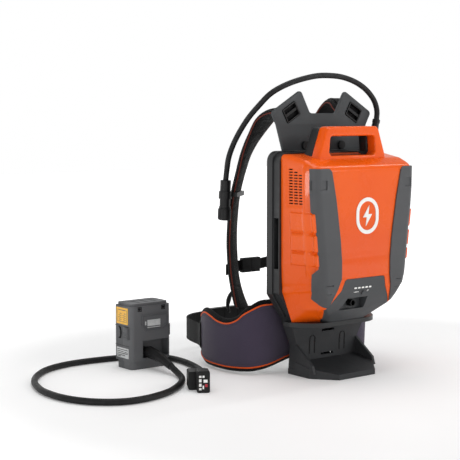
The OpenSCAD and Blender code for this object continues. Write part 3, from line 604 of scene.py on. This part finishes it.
def soften(o, width):
    """Rounded moulded edges on a CAD mesh, left as live modifiers."""
    smooth_shade(o.data)
    o.data.set_sharp_from_angle(angle=radians(30))
    weld = o.modifiers.new("weld", "WELD")
    weld.merge_threshold = 1e-6
    edge = o.modifiers.new("edge", "BEVEL")
    edge.width = width * MM
    edge.segments = 3
    edge.limit_method = "ANGLE"
    edge.angle_limit = radians(32)
    normals = o.modifiers.new("normals", "WEIGHTED_NORMAL")
    normals.keep_sharp = False
    normals.weight = 80


for material, group in KEPT.items():
    for name, width in group.items():
        nodes[name].data.materials.clear()
        nodes[name].data.materials.append(material)
        soften(nodes[name], width)

# ---- orange cover
FRONT_X = ((118, 58), (150, 99), (195, 119), (235, 123), (300, 130), (360, 137), (400, 140), (480, 141))
FRONT_STEP = ((118, 55), (155, 20), (190, 5), (217, 0), (480, 0))
REAR_X = ((118, 112), (185, 139), (240, 141), (480, 143))
CORNER_R, EDGE_R = 16, 10
FRONT_Y, COVER_BACK = -80, 24
COVER_LOW, SIDE_TOP, RIM_Z = 118, 428, 440
TOP = ((-80, 444.9), (-43, 460), (8, 469), (24, 470))


def table(pairs, x):
    return np.interp(x, [p[0] for p in pairs], [p[1] for p in pairs])


def cover_outline(z, inset):
    """Open ring round the cover at one height: left rear, front, right rear."""
    a = table(FRONT_X, z) - inset
    b = table(REAR_X, z) - inset
    y = table(FRONT_STEP, z) + FRONT_Y + inset
    side = np.linspace(0, 1, 45)[:-1]
    left = [(-(b + (a - b) * t), COVER_BACK + (y + CORNER_R - COVER_BACK) * t) for t in side]
    corner = arc((-a + CORNER_R, y + CORNER_R), CORNER_R, 180, 270, 12)
    half = left + corner
    x_end = corner[-1][0]
    front = [(x_end + (-2 * x_end) * t, y) for t in np.linspace(0, 1, 50)[1:-1]]
    return np.array(half + front + [(-x, yy) for x, yy in reversed(half)])


def cover_surface():
    """Rows of points up the sides, over the rounded edge and across the top."""
    def row(ring, z):
        return np.column_stack([ring, np.broadcast_to(z, len(ring))])

    rim, last = cover_outline(RIM_Z, 0), cover_outline(SIDE_TOP, 0)
    edge_z = table(TOP, rim[:, 1]) - EDGE_R
    rows = [row(cover_outline(z, 0), z) for z in np.linspace(COVER_LOW, SIDE_TOP, 105)]
    for f in np.linspace(0, 1, 5)[1:]:
        rows.append(row(last + (rim - last) * f, SIDE_TOP + (edge_z - SIDE_TOP) * f))
    for phi in np.radians(np.linspace(0, 90, 9)[1:]):
        ring = cover_outline(RIM_Z, EDGE_R * (1 - cos(phi)))
        rows.append(row(ring, table(TOP, ring[:, 1]) - EDGE_R + EDGE_R * sin(phi)))
    for inset in np.linspace(EDGE_R, 79, 14)[1:]:
        ring = cover_outline(RIM_Z, inset)
        rows.append(row(ring, table(TOP, ring[:, 1])))
    return np.array(rows)


def shape_cover(grid):
    """Side ribs, corner pillar, vent pad and the soft crease across the front."""
    n = unit(np.cross(np.gradient(grid, axis=1), np.gradient(grid, axis=0)))
    x, y, z = grid[..., 0], grid[..., 1], grid[..., 2]
    side = ramp(np.abs(n[..., 0]), 0.75, 0.95)
    ribs = sum(ramp(z, lo - 1, lo + 1.5) * (1 - ramp(z, hi - 1.5, hi + 1))
               for lo, hi in ((245, 270), (274, 309), (314, 352)))
    ribs = ribs * ramp(y, -78, -70) * (1 - ramp(y, -6, 2))
    pad = ramp(z, 362, 365) * (1 - ramp(z, 445, 448)) * ramp(y, -43, -40) * (1 - ramp(y, 7, 10))
    tall = ramp(z, 214, 236) * (1 - ramp(z, 440, 452))
    pillar = np.interp(y, (-68, -60, -47, -41, -37), (0, -2.6, 4, 4, 0)) * tall
    nubs = ribs * bell(y, -69, 4)
    front = ramp(-n[..., 1], 0.9, 0.99)
    crease = bell(z, 258, 9) * (1 - ramp(np.abs(x), 60, 76))
    lift = side * (3.2 * ribs - 1.6 * pad + pillar * (1 - 0.6 * ribs) + 5.0 * nubs) - front * 1.1 * crease
    below = side * bell(z, 196, 5) * 0.8
    return grid + n * (lift - below)[..., None]


def grid_mesh(name, grid):
    """Mesh over rows of points, the last row closed by one face."""
    r, c = grid.shape[:2]
    faces = [(i * c + j, i * c + j + 1, (i + 1) * c + j + 1, (i + 1) * c + j)
             for i in range(r - 1) for j in range(c - 1)]
    faces.append(tuple((r - 1) * c + j for j in range(c)))
    return mesh_from(name, grid.reshape(-1, 3), faces)


cover = register("cover_shell", grid_mesh("cover_shell", shape_cover(cover_surface())), ORANGE,
                 "pack", ["front_cover"])
wall = cover.modifiers.new("wall", "SOLIDIFY")
wall.thickness = 3 * MM
wall.offset = -1
with_modifiers(cover)


def box_mesh(name, boxes, prisms=()):
    """Boxes given by two corners, and prisms along Y given by an outline in X and Z."""
    verts, faces = [], []
    for lo, hi in boxes:
        b = len(verts)
        verts += [(x, y, z) for z in (lo[2], hi[2]) for y in (lo[1], hi[1]) for x in (lo[0], hi[0])]
        faces += [(b, b + 2, b + 3, b + 1), (b + 4, b + 5, b + 7, b + 6), (b, b + 1, b + 5, b + 4),
                  (b + 2, b + 6, b + 7, b + 3), (b, b + 4, b + 6, b + 2), (b + 1, b + 3, b + 7, b + 5)]
    for outline, y0, y1 in prisms:
        b, n = len(verts), len(outline)
        verts += [(x, y0, z) for x, z in outline] + [(x, y1, z) for x, z in outline]
        faces += [tuple(b + i for i in range(n)), tuple(b + n + i for i in range(n - 1, -1, -1))]
        faces += [(b + i, b + n + i, b + n + (i + 1) % n, b + (i + 1) % n) for i in range(n)]
    return face_outward(mesh_from(name, verts, faces))


def cut(o, cutter_mesh):
    cutter = link("cutter", cutter_mesh)
    m = o.modifiers.new("cut", "BOOLEAN")
    m.object = cutter
    m.operation = "DIFFERENCE"
    m.solver = "EXACT"
    with_modifiers(o)
    bpy.data.objects.remove(cutter)


PANEL_OUTLINE = both_sides(arc((50, 206), 8, 90, 30, 3) + [(63, 191), (92, 150), (60, 118)])
grown = [(x + copysign(0.6, x), z + 0.6) for x, z in PANEL_OUTLINE]
middle = len(grown) // 2
panel_hole = grown[:middle] + [(60.6, 104), (-60.6, 104)] + grown[middle:]
VENT_ROWS, VENT_COLUMNS = 13, 3
vents = []
for row in range(VENT_ROWS):
    for column in range(max(0, row - VENT_ROWS + VENT_COLUMNS), VENT_COLUMNS):
        y, z = -38 + 14.5 * column, 369 + 5.8 * row
        vents += [((x, y, z), (x + 40, y + 12, z + 2.8)) for x in (-160, 120)]
cut(cover, box_mesh("cover_cuts", vents, [(panel_hole, -120, -8)]))
cover.data.set_sharp_from_angle(angle=radians(35))

# carrying handle: orange front loop and the dark rear half
HANDLE = both_sides([(98, 450), (94, 468)] + arc((64, 515), 12, 20, 90, 8))
GRIP = both_sides([(60, 467), (66, 474)] + arc((56, 499), 8, 20, 90, 6))
REAR_HANDLE = [(x - copysign(1.5, x), z - (1.5 if z > 480 else 0)) for x, z in HANDLE]
plate("handle_front", [HANDLE, GRIP], -40, -14, 4.0, ORANGE, "pack")
plate("handle_rear", [REAR_HANDLE, GRIP], -13.7, 12, 4.5, FRAME, "pack",
      ["handle_rear_shell"])

# ---- shoulder yoke
YOKE_OUTLINE = both_sides([(112, 470), (112, 476), (129, 530)] + arc((133, 553), 8, -20, 60, 6)
                          + arc((66, 592), 8, 60, 150, 8) + arc((30, 566), 12, -50, -90, 5))


def turned_box(cx, cz, w, h, angle, r=4):
    out = []
    for sx, sz, a0 in ((1, 1, 0), (-1, 1, 90), (-1, -1, 180), (1, -1, 270)):
        out += arc((sx * (w / 2 - r), sz * (h / 2 - r)), r, a0, a0 + 90, 4)
    c, s = cos(radians(angle)), sin(radians(angle))
    return [(cx + x * c - z * s, cz + x * s + z * c) for x, z in out]


yoke_holes = [turned_box(90, 556, 40, 32, -30), turned_box(-90, 556, 40, 32, 30)]
plate("yoke_plate", [YOKE_OUTLINE] + yoke_holes, 53.5, 60.5, 2.2, YOKE, "pack",
      ["shoulder_yoke"])
for side, tag in SIDES:
    plate(f"yoke_tab_{tag}", [turned_box(side * 52, 470, 40, 58, 0)],
          62.4, 66.4, 1.2, YOKE, "pack")

# ---- shoulder straps
EDGES = ((-1, "in"), (1, "out"))
STRAP_WIDTH, STRAP_THICK, QUILT_PITCH = 58, 12.5, 62
PIPING_AT, STITCHES_AT = 28.6, 17.2
STRAP_RISE = {
    -1: [(92, 67.5, 556, 0), (92, 80, 557, 0), (94, 95, 555, -1), (97, 110, 550, -3),
         (100, 126, 541, -8), (100, 142, 526, -14), (100, 159, 507, -22), (100, 176, 486, -29),
         (100, 191, 463, -34)],
    1: [(92, 67.5, 556, 0), (92, 77, 556.5, 0), (93, 89, 566, 0), (96, 103, 577, -2),
        (98, 118, 579, -6), (100, 133, 569, -12), (100, 149, 549, -19), (100, 165, 522, -26),
        (100, 181, 494, -31), (100, 193, 466, -35)]}
STRAP_FALL = [
    (100, 203, 438, -37), (100, 214, 411, -38), (100, 224, 384, -38),
    (100, 231, 356, -38), (100, 236, 326, -37), (100, 239, 296, -37), (100, 240, 265, -36),
    (100, 238, 235, -36), (100, 235, 205, -36), (100, 228, 177, -36), (100, 218, 150, -33),
    (100, 205, 124, -28)]


def band_frames(points):
    """Along, across and through a band; a point's fourth value turns the band about Z."""
    t = unit(np.gradient(points[:, :3], axis=0))
    a = np.radians(points[:, 3])
    wish = np.column_stack([np.cos(a), np.sin(a), np.zeros(len(a))])
    inner = unit(np.cross(t, wish))
    return t, np.cross(inner, t), inner


def mirrored(points, side):
    out = np.array(points, float)
    out[..., 0] *= side
    return out


def padded_section(width, thickness, count=28, square=0.55):
    """Superellipse cross-section: positions across the width and through the thickness."""
    a = np.arange(count) * 2 * pi / count
    c, s = np.cos(a), np.sin(a)
    return (np.sign(c) * np.abs(c) ** square * width / 2,
            np.sign(s) * np.abs(s) ** 0.8 * thickness / 2)


def wrinkle(points, scale, amount, seed=0.0):
    return np.array([noise.noise(Vector(p) * scale + Vector((seed, 0, 0))) for p in points]) * amount


def shoulder_strap(side, tag):
    """Quilted pad, piping on both edges and the carrying webbing with its stitches."""
    p = smooth_route(STRAP_RISE[side] + STRAP_FALL, 4)
    _, wide, inner = band_frames(p)
    s = run_length(p)
    across, through = padded_section(STRAP_WIDTH, STRAP_THICK)
    ends = np.minimum(ramp(s, -4, 10), 1 - ramp(s, s[-1] - 10, s[-1] + 4))
    quilt = sum(bell(s, k, 2.2) for k in np.arange(34, s[-1] - 20, QUILT_PITCH))
    rings = []
    for i in range(len(p)):
        thick = through * (0.45 + 0.55 * ends[i]) * (1 - 0.34 * quilt[i])
        seam = -0.9 * (bell(across, 22, 1.6) + bell(across, -22, 1.6)) * np.sign(through)
        ring = (p[i, :3] + across[:, None] * wide[i] * (0.95 + 0.05 * ends[i])
                + (thick + seam * (np.abs(through) > 2))[:, None] * inner[i])
        rings.append(ring + inner[i] * wrinkle(ring, 0.03, 0.9, side)[:, None])
    rings = mirrored(rings, side)
    pad = loft(f"strap_pad_{tag}", rings, STRAP, "pack", [f"shoulder_strap_{tag}"])
    for edge, where in EDGES:
        line = p[:, :3] + wide * edge * PIPING_AT + inner * 2.2
        tube(f"strap_piping_{tag}_{where}", mirrored(line, side), 1.5, STRAP_PIPING, "pack")
    # carrying webbing sewn along the outer face
    keep = s > 6
    q, w2, n2 = p[keep], wide[keep], inner[keep]
    face = 6.1 * (0.45 + 0.55 * ends[keep]) + 0.9
    corners = ((-19, 0.5), (-19.6, 0), (-19, -0.9), (19, -0.9), (19.6, 0), (19, 0.5))
    rings = [[q[i, :3] - n2[i] * face[i] + w2[i] * a + n2[i] * b for a, b in corners] for i in range(len(q))]
    loft(f"strap_webbing_{tag}", mirrored(rings, side), WEBBING, "pack")
    for edge, where in EDGES:
        line = q[:, :3] - n2 * (face + 1.0)[:, None] + w2 * edge * STITCHES_AT
        stitches(f"strap_stitches_{tag}_{where}", mirrored(line, side),
                 mirrored(-n2, side), "pack")


for side, tag in SIDES:
    shoulder_strap(side, tag)


BAND_THICK = 2.4


def band_section(width):
    """Corners of a flat band's cross-section: across its width, through its thickness."""
    w, t, e = width / 2, BAND_THICK / 2, BAND_THICK * 0.35
    return ((-w + e, -t), (0, -t - 0.1), (w - e, -t), (w, 0), (w - e, t), (0, t + 0.1), (-w + e, t), (-w, 0))


LOWER_ROUTE = [(100, 205, 124, -28), (100, 198, 111, -22), (100, 180, 94, -8), (100, 150, 84, 0),
               (100, 118, 84, 0), (100, 98, 94, 0), (100, 96, 112, 0)]
p = smooth_route(LOWER_ROUTE, 3)
_, wide, inner = band_frames(p)
rings = [[p[i, :3] + wide[i] * a + inner[i] * b for a, b in band_section(25)] for i in range(len(p))]
for side, tag in SIDES:
    loft(f"lower_band_{tag}", mirrored(rings, side), WEBBING, "pack", [f"lower_webbing_{tag}"])


def belt_side(points):
    """Sideways direction along an upright belt, whose points are x, y, bottom, top and so on."""
    flat = np.column_stack([points[:, :2], np.zeros(len(points))])
    return np.cross((0, 0, 1), unit(np.gradient(flat, axis=0)))


def belt_band(name, route, side, body, replaces):
    p = smooth_plan(route, 3)
    out = belt_side(p)
    rings = []
    for (x, y, lo, hi), o in zip(p, out):
        centre = np.array([x, y, (lo + hi) / 2])
        rings.append([centre + o * b + np.array([0, 0, a]) for a, b in band_section(hi - lo)])
    loft(name, mirrored(rings, side), WEBBING, body, replaces)
    for z, where in ((p[:, 2] + 3, "low"), (p[:, 3] - 3, "high")):
        line = np.column_stack([p[:, :2], z]) + out * (-BAND_THICK / 2 - 0.1)
        stitches(f"{name}_stitches_{where}", mirrored(line, side), mirrored(-out, side), body,
                 radius=0.3)


def smooth_plan(route, step):
    """Like smooth_route, with the spacing judged in plan only."""
    p = np.array(route, float)
    dense = smooth_route(np.column_stack([p[:, :2], np.zeros(len(p)), p[:, 2:]]), step)
    return np.column_stack([dense[:, :2], dense[:, 3:]])


CHEST_Y = 264
belt_band("chest_band_left", [(-55, CHEST_Y, 198, 223), (-68, CHEST_Y + 1, 197, 222),
                              (-80, CHEST_Y - 1, 196, 221), (-106, CHEST_Y - 20, 196, 221),
                              (-122, CHEST_Y - 31, 196, 221)], 1, "pack", ["chest_webbing_left"])
belt_band("chest_band_right", [(106, CHEST_Y - 19, 214, 239), (80, CHEST_Y, 211, 236),
                               (66, CHEST_Y + 3, 208, 233), (30, CHEST_Y + 1, 202, 227),
                               (-3, CHEST_Y, 198, 223)], 1, "chest_buckle_half", ["chest_webbing_right"])
HIP_LOW, HIP_HIGH = 39, 89
HIP_ROUTE = [(x, y, HIP_LOW, HIP_HIGH) for x, y in (
    (175, 258), (164, 282), (157, 308), (149, 334), (138, 358), (120, 379), (96, 393), (68, 400),
    (37.4, 402))]
belt_band("hip_band_left", HIP_ROUTE, -1, "pack", ["hip_webbing_left"])
belt_band("hip_band_right", HIP_ROUTE, 1, "hip_buckle_half", ["hip_webbing_right"])

# ---- hip wings
WING_ROUTE = [
    (60.8, 88, 26, 158, 14), (92, 86, 20, 160, 15), (122, 84, 14, 161, 16),
    (146, 87, 10, 160, 16), (163, 97, 7, 150, 16), (172, 110, 6, 139, 16),
    (177, 124, 5, 126, 16), (182, 150, 4, 117, 16), (183, 180, 4, 119, 16),
    (180, 210, 4, 127, 15), (174, 236, 5, 130, 14), (165, 260, 10, 122, 12),
    (156, 276, 20, 110, 9)]


def hip_wing(side, tag):
    """Padded wing, fabric panel, piping and stitches along both edges, and the webbing's anchor."""
    p = smooth_plan(WING_ROUTE, 4)
    inward = belt_side(p)
    s = run_length(np.column_stack([p[:, :2], np.zeros(len(p))]))
    rings = []
    for i in range(len(p)):
        x, y, lo, hi, t = p[i]
        up, through = padded_section(hi - lo - 1, t * 0.95, 34, 0.4)
        mid = (lo + hi) / 2
        quilt = 1 - 0.25 * sum(bell(s[i], k, 2.5) for k in (60, 120, 180))
        rings.append([np.array([x, y, mid + a]) + inward[i] * (b * quilt + 1.0) for a, b in zip(up, through)])
    rings = np.array(rings)
    rings = rings + inward[:, None, :] * np.array(
        [wrinkle(r, 0.02, 1.2, 5 + side) for r in rings])[..., None]
    pad = loft(f"wing_pad_{tag}", mirrored(rings, side), AIR_MESH, "pack",
               [f"hip_wing_{tag}"])
    # fabric panel over the outer face
    last = np.searchsorted(s, s[-1] - 5)
    q, n = p[:last], inward[:last]
    outer, edges = [], []
    for i in range(len(q)):
        x, y, lo, hi, t = q[i]
        low, high = lo + 10, hi - 11
        up = np.linspace(low, high, 16)
        crown = 1 - np.abs((up - (low + high) / 2) / ((high - low) / 2)) ** 3
        face = t / 2 - 1.6 + 1.9 * crown
        ripple = wrinkle([np.array([x, y, z]) for z in up], 0.018, 1.6, 9 * side)
        front = [np.array([x, y, z]) - n[i] * (f + r * c) for z, f, r, c in zip(up, face, ripple, crown)]
        back = [np.array([x, y, z]) - n[i] * (f - 2.2) for z, f in zip(up[::-1], face[::-1])]
        outer.append(front + back)
        edges.append((front[0] + n[i] * 0.6, front[-1] + n[i] * 0.6, front[1], front[-2], -n[i]))
    loft(f"wing_panel_{tag}", mirrored(outer, side), BELT, "pack")
    edges = np.array(edges)
    for k, where in ((0, "low"), (1, "high")):
        tube(f"wing_piping_{tag}_{where}", mirrored(edges[:, k], side), 1.8, PIPING, "pack")
        stitches(f"wing_stitches_{tag}_{where}", mirrored(edges[:, k + 2] + edges[:, 4] * 0.3, side),
                 mirrored(edges[:, 4], side), "pack", radius=0.3)
    # webbing anchor sewn on the tip
    first = np.searchsorted(s, s[-1] - 26)
    q, n = p[first:], inward[first:]
    patch = []
    for i in range(len(q)):
        x, y, lo, hi, t = q[i]
        patch.append([np.array([x, y, z]) - n[i] * f for z, f in
                      ((34, t / 2 + 0.2), (36, t / 2 + 1.6), (64, t / 2 + 2.2), (92, t / 2 + 1.6),
                       (94, t / 2 + 0.2), (64, t / 2 - 1.5))])
    loft(f"wing_anchor_{tag}", mirrored(patch, side), LINING, "pack")


for side, tag in SIDES:
    hip_wing(side, tag)


# ---- pads
CELL, VOXEL, PRESSURE, FRAMES = 8.0, 4.5, 4.0, 20
CHANNEL_DEPTH = 5.0


def cushion_mesh(name, lo, hi, shrink):
    """Box divided into cells of about CELL, a little smaller than the pad it stands for."""
    size = hi - lo - 2 * shrink
    cells = np.maximum(1, np.round(size / CELL)).astype(int)
    bm = bmesh.new()
    bmesh.ops.create_cube(bm, size=1)
    for axis in range(3):
        for k in range(1, cells[axis]):
            co, no = [0.0, 0.0, 0.0], [0.0, 0.0, 0.0]
            co[axis], no[axis] = k / cells[axis] - 0.5, 1.0
            bmesh.ops.bisect_plane(bm, geom=bm.verts[:] + bm.edges[:] + bm.faces[:], plane_co=co, plane_no=no)
    centre = Vector((lo + hi) / 2)
    for v in bm.verts:
        v.co = Vector((v.co.x * size[0], v.co.y * size[1], v.co.z * size[2])) + centre
        v.co *= MM
    mesh = bpy.data.meshes.new(name)
    bm.to_mesh(mesh)
    bm.free()
    return mesh


def inflate(o, cap):
    """Voxel remesh, a short pressurised cloth run without gravity and capped movement; returns the moved
    points.
    """
    remesh = o.modifiers.new("remesh", "REMESH")
    remesh.mode = "VOXEL"
    remesh.voxel_size = VOXEL * MM
    with_modifiers(o)
    rest = np.array([v.co for v in o.data.vertices])
    cloth = o.modifiers.new("cloth", "CLOTH")
    cloth.settings.use_pressure = True
    cloth.settings.uniform_pressure_force = PRESSURE
    cloth.settings.effector_weights.gravity = 0
    cloth.settings.quality = 5
    cloth.point_cache.frame_start = 1
    cloth.point_cache.frame_end = FRAMES
    for f in range(1, FRAMES + 1):
        scene.frame_set(f)
    moved = np.array([v.co for v in o.evaluated_get(
        bpy.context.evaluated_depsgraph_get()).data.vertices])
    o.modifiers.clear()
    scene.frame_set(1)
    step = moved - rest
    size = np.linalg.norm(step, axis=1, keepdims=True)
    rest = rest + step * np.minimum(1, cap * MM / np.maximum(size, 1e-9))
    return rest


def quilted_pad(name, node, shrink, channels_x, channels_z, cap):
    lo, hi = (np.array(c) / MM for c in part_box(node))
    o = register(name, cushion_mesh(name, lo, hi, shrink), AIR_MESH, "pack", [node])
    points = inflate(o, cap) / MM
    # sewn channels on the wearer's side, and nothing past the CAD pad's own back
    face = ramp(points[:, 1], (lo[1] + hi[1]) / 2, hi[1] - 1)
    dip = (sum(bell(points[:, 0], c, 3.5) for c in channels_x)
           + sum(bell(points[:, 2], c, 3.5) for c in channels_z))
    points[:, 1] -= face * np.minimum(dip, 1) * CHANNEL_DEPTH
    points = np.clip(points, lo - (1, 0, 2), hi + (1, 4, 2))
    o.data.vertices.foreach_set("co", (points * MM).ravel())
    o.data.update()
    finer = o.modifiers.new("finer", "SUBSURF")
    finer.levels = finer.render_levels = 1
    with_modifiers(o)
    smooth_shade(o.data)


quilted_pad("back_cushion", "back_pad", 4.0, (-35, 35), (242, 305, 368), 8)
quilted_pad("lumbar_cushion", "lumbar_pad", 5.0, (-20, 20), (104,), 10)

# ---- adapter trim
AX, AY = -338, 289


def film_patch(name, lo, hi, material, replaces=()):
    o = register(name, box_mesh(name, [(lo, hi)]), material, "adapter", replaces)
    m = o.modifiers.new("edge", "BEVEL")
    m.width = 0.3 * MM
    m.segments = 3
    with_modifiers(o)
    smooth_shade(o.data)


film_patch("adapter_label_upper", (AX - 0.6, AY + 13, 98), (AX + 0.2, AY + 57, 134), YELLOW,
           ["adapter_labels"])
film_patch("adapter_label_lower", (AX - 0.6, AY + 11, 24), (AX + 0.2, AY + 56, 46), SILVER)

# plain printed rules: from y, to y, from z, to z
rules = [(16, 17, 102, 130), (53, 54, 102, 130), (20, 49, 128, 129.4)]
rules += [(13 + column, 13 + column + length, 103 + row * 4.4, 104.2 + row * 4.4)
          for column in (8, 24) for row, length in enumerate((12, 9, 12, 11, 7))]
rules += [(a, b, z, z + 1.6) for a, b, z in (
    (13, 54, 41), (30, 54, 37), (13, 54, 33), (24, 54, 29), (13, 26, 36), (40, 54, 26))]
register("adapter_label_print", box_mesh("adapter_label_print", [
    ((AX - 0.75, AY + a, c), (AX - 0.55, AY + b, d)) for a, b, c, d in rules]), INK, "adapter")
PLATE_EDGE = [(27, 119), (96, 119), (98, 96), (84, 84), (38, 84), (25, 97)]
PLATE_FACE = [(32, 115), (92, 115), (93, 97), (81, 88), (41, 88), (30, 98)]
plate("adapter_plate_rim", [[(AX + x, z) for x, z in o] for o in (PLATE_EDGE, PLATE_FACE)],
      AY - 2.6, AY + 0.4, 0.9, ADAPTER_DARK, "adapter")
film_patch("adapter_plate_patch", (AX + 42, AY - 0.9, 93.5), (AX + 76, AY + 0.2, 107), SILVER)
register("adapter_plate_print", box_mesh("adapter_plate_print", [
    ((AX + 36, AY - 0.5, 96), (AX + 39, AY + 0.1, 104)),
    ((AX + 42, AY - 0.5, 89.6), (AX + 76, AY + 0.1, 91.2))]),
    SILVER, "adapter")
crescent = [(AX - 0.7, AY + 47 - 7 * sin(radians(a)), 79 - 12 * cos(radians(a)))
            for a in np.linspace(0, 180, 15)]
tube("adapter_crescent", crescent, 1.9, SOCKET, "adapter")

# square pockets round the adapter's screws, and seams above and below the latch
SQUARE = ((-1, -1), (1, -1), (1, 1), (-1, 1))
for x, z in ((22, 132), (84, 132)):
    plate(f"adapter_pocket_{x}", [[(AX + x + a * r, z + b * r) for a, b in SQUARE] for r in (5, 3.4)],
          AY - 0.7, AY + 0.6, 0.25, SOCKET, "adapter")
register("adapter_seam", box_mesh("adapter_seam", [((AX - 0.25, AY + 8, 93.2), (AX + 0.4, AY + 62, 94.4)),
                                                   ((AX - 0.25, AY + 8, 51), (AX + 0.4, AY + 62, 52))]),
         SOCKET, "adapter")


PLUG_AT, PLUG_TURN = (-344, 24, 0), radians(-31)


def plug_marks(name, rects, material):
    mesh = box_mesh(name, [((x0, -0.5, z0), (x1, 0.3, z1)) for x0, x1, z0, z1 in rects])
    c, q = cos(PLUG_TURN), sin(PLUG_TURN)
    for v in mesh.vertices:
        x, y, z = v.co / MM
        v.co = Vector((PLUG_AT[0] + x * c - y * q, PLUG_AT[1] + x * q + y * c, PLUG_AT[2] + z)) * MM
    register(name, mesh, material, "adapter")


plug_marks("plug_marks_white", [(-9, -4, 31, 35), (-9, -4, 22, 28), (-9, -4, 13, 19), (-9, -4, 6, 10),
                                (-2, 2, 31, 35), (0, 8, 21, 27), (-2, 1, 8, 15)], MARK)
plug_marks("plug_marks_red", [(3, 8, 12, 18)], RED_MARK)

# panel pictograms lie on the panel's leaning lower face
LEAN = radians(23.2)
PICTOGRAMS = [(-26, -23.5, 184, 185.2), (-22, -21.2, 183.2, 186), (-20, -19.2, 183.2, 186),
              (-18, -17.2, 183.2, 186), (-16, -12.5, 184, 185.2), (12, 12.8, 183.5, 187),
              (14.5, 15.3, 185, 187)]
verts, faces = [], []
for x0, x1, z0, z1 in PICTOGRAMS:
    b = len(verts)
    for depth in (-0.3, 0.25):
        for x, z in ((x0, z0), (x1, z0), (x1, z1), (x0, z1)):
            y = FRONT_Y + table(FRONT_STEP, z)
            verts.append((x, y - depth * cos(LEAN), z - depth * sin(LEAN)))
    faces += [(b, b + 3, b + 2, b + 1), (b + 4, b + 5, b + 6, b + 7)]
    faces += [(b + i, b + (i + 1) % 4, b + 4 + (i + 1) % 4, b + 4 + i) for i in range(4)]
register("panel_marks", mesh_from("panel_marks", verts, faces), MARK, "pack")


# the CAD bumpers with moulded details cut into a copy
BUMPER_CUTS = [((112, -95, 400), (129, -80.8, 419)), ((140.9, -78, 400), (160, -66, 419)),
               ((90, -95, 203), (160, -78.6, 205.6)), ((90, -95, 185), (160, -74.4, 187.6))]
for side, tag in SIDES:
    boxes = BUMPER_CUTS if side > 0 else [((-hi[0], *lo[1:]), (-lo[0], *hi[1:])) for lo, hi in BUMPER_CUTS]
    source = nodes[f"bumper_{tag}"]
    mesh = source.data.copy()
    mesh.transform(source.matrix_world)
    mesh.name = f"bumper_shell_{tag}"
    mesh.materials.clear()
    o = register(mesh.name, mesh, BUMPER, "pack", [f"bumper_{tag}"])
    o.modifiers.new("weld", "WELD").merge_threshold = 1e-6
    cut(o, box_mesh(f"bumper_cuts_{tag}", boxes))
    soften(o, 0.9)

# moulded arches on the foot's upright face
ARCH_R = 7.3
foot_node = nodes["foot_stand"]
to_foot = foot_node.matrix_world.inverted()
for side, tag in SIDES:
    centre = side * 43.5
    path = [(centre - ARCH_R, z) for z in np.linspace(42, 72, 11)]
    path += [(centre + ARCH_R * cos(a), 74 + ARCH_R * sin(a))
             for a in np.radians(np.linspace(172, 8, 13))]
    path += [(centre + ARCH_R, z) for z in np.linspace(72, 42, 11)]
    found = []
    for x, z in path:
        start = to_foot @ Vector((centre * MM, -0.3, z * MM))
        hit, where, _, _ = foot_node.ray_cast(start, Vector((0, 1, 0)))
        if hit:
            found.append((x, where.y / MM + 0.2, z))
    tube(f"foot_arch_{tag}", found, 1.5, SOCKET, "pack")

plate("foot_backing", [[(-24, 30), (24, 30), (24, 98), (-24, 98)]], 52, 54, 0.5, SOCKET, "pack")

# dark webbing behind the yoke's slots and the tail of the left strap's adjuster
for side, tag in SIDES:
    plate(f"yoke_webbing_{tag}", [turned_box(side * 90, 556, 38, 30, -30 * side)], 60.4, 61.9, 0.5,
          WEBBING, "pack")
tail = smooth_route([(-96, 244, 158), (-94, 254, 148), (-92, 263, 134), (-92, 266, 120), (-93, 258, 108)], 3)
tube("adjuster_tail", tail, np.interp(run_length(tail), (0, 14, 30, 48, 60), (2, 4.5, 5.5, 3.5, 2)), BLACK,
     "pack", 10)
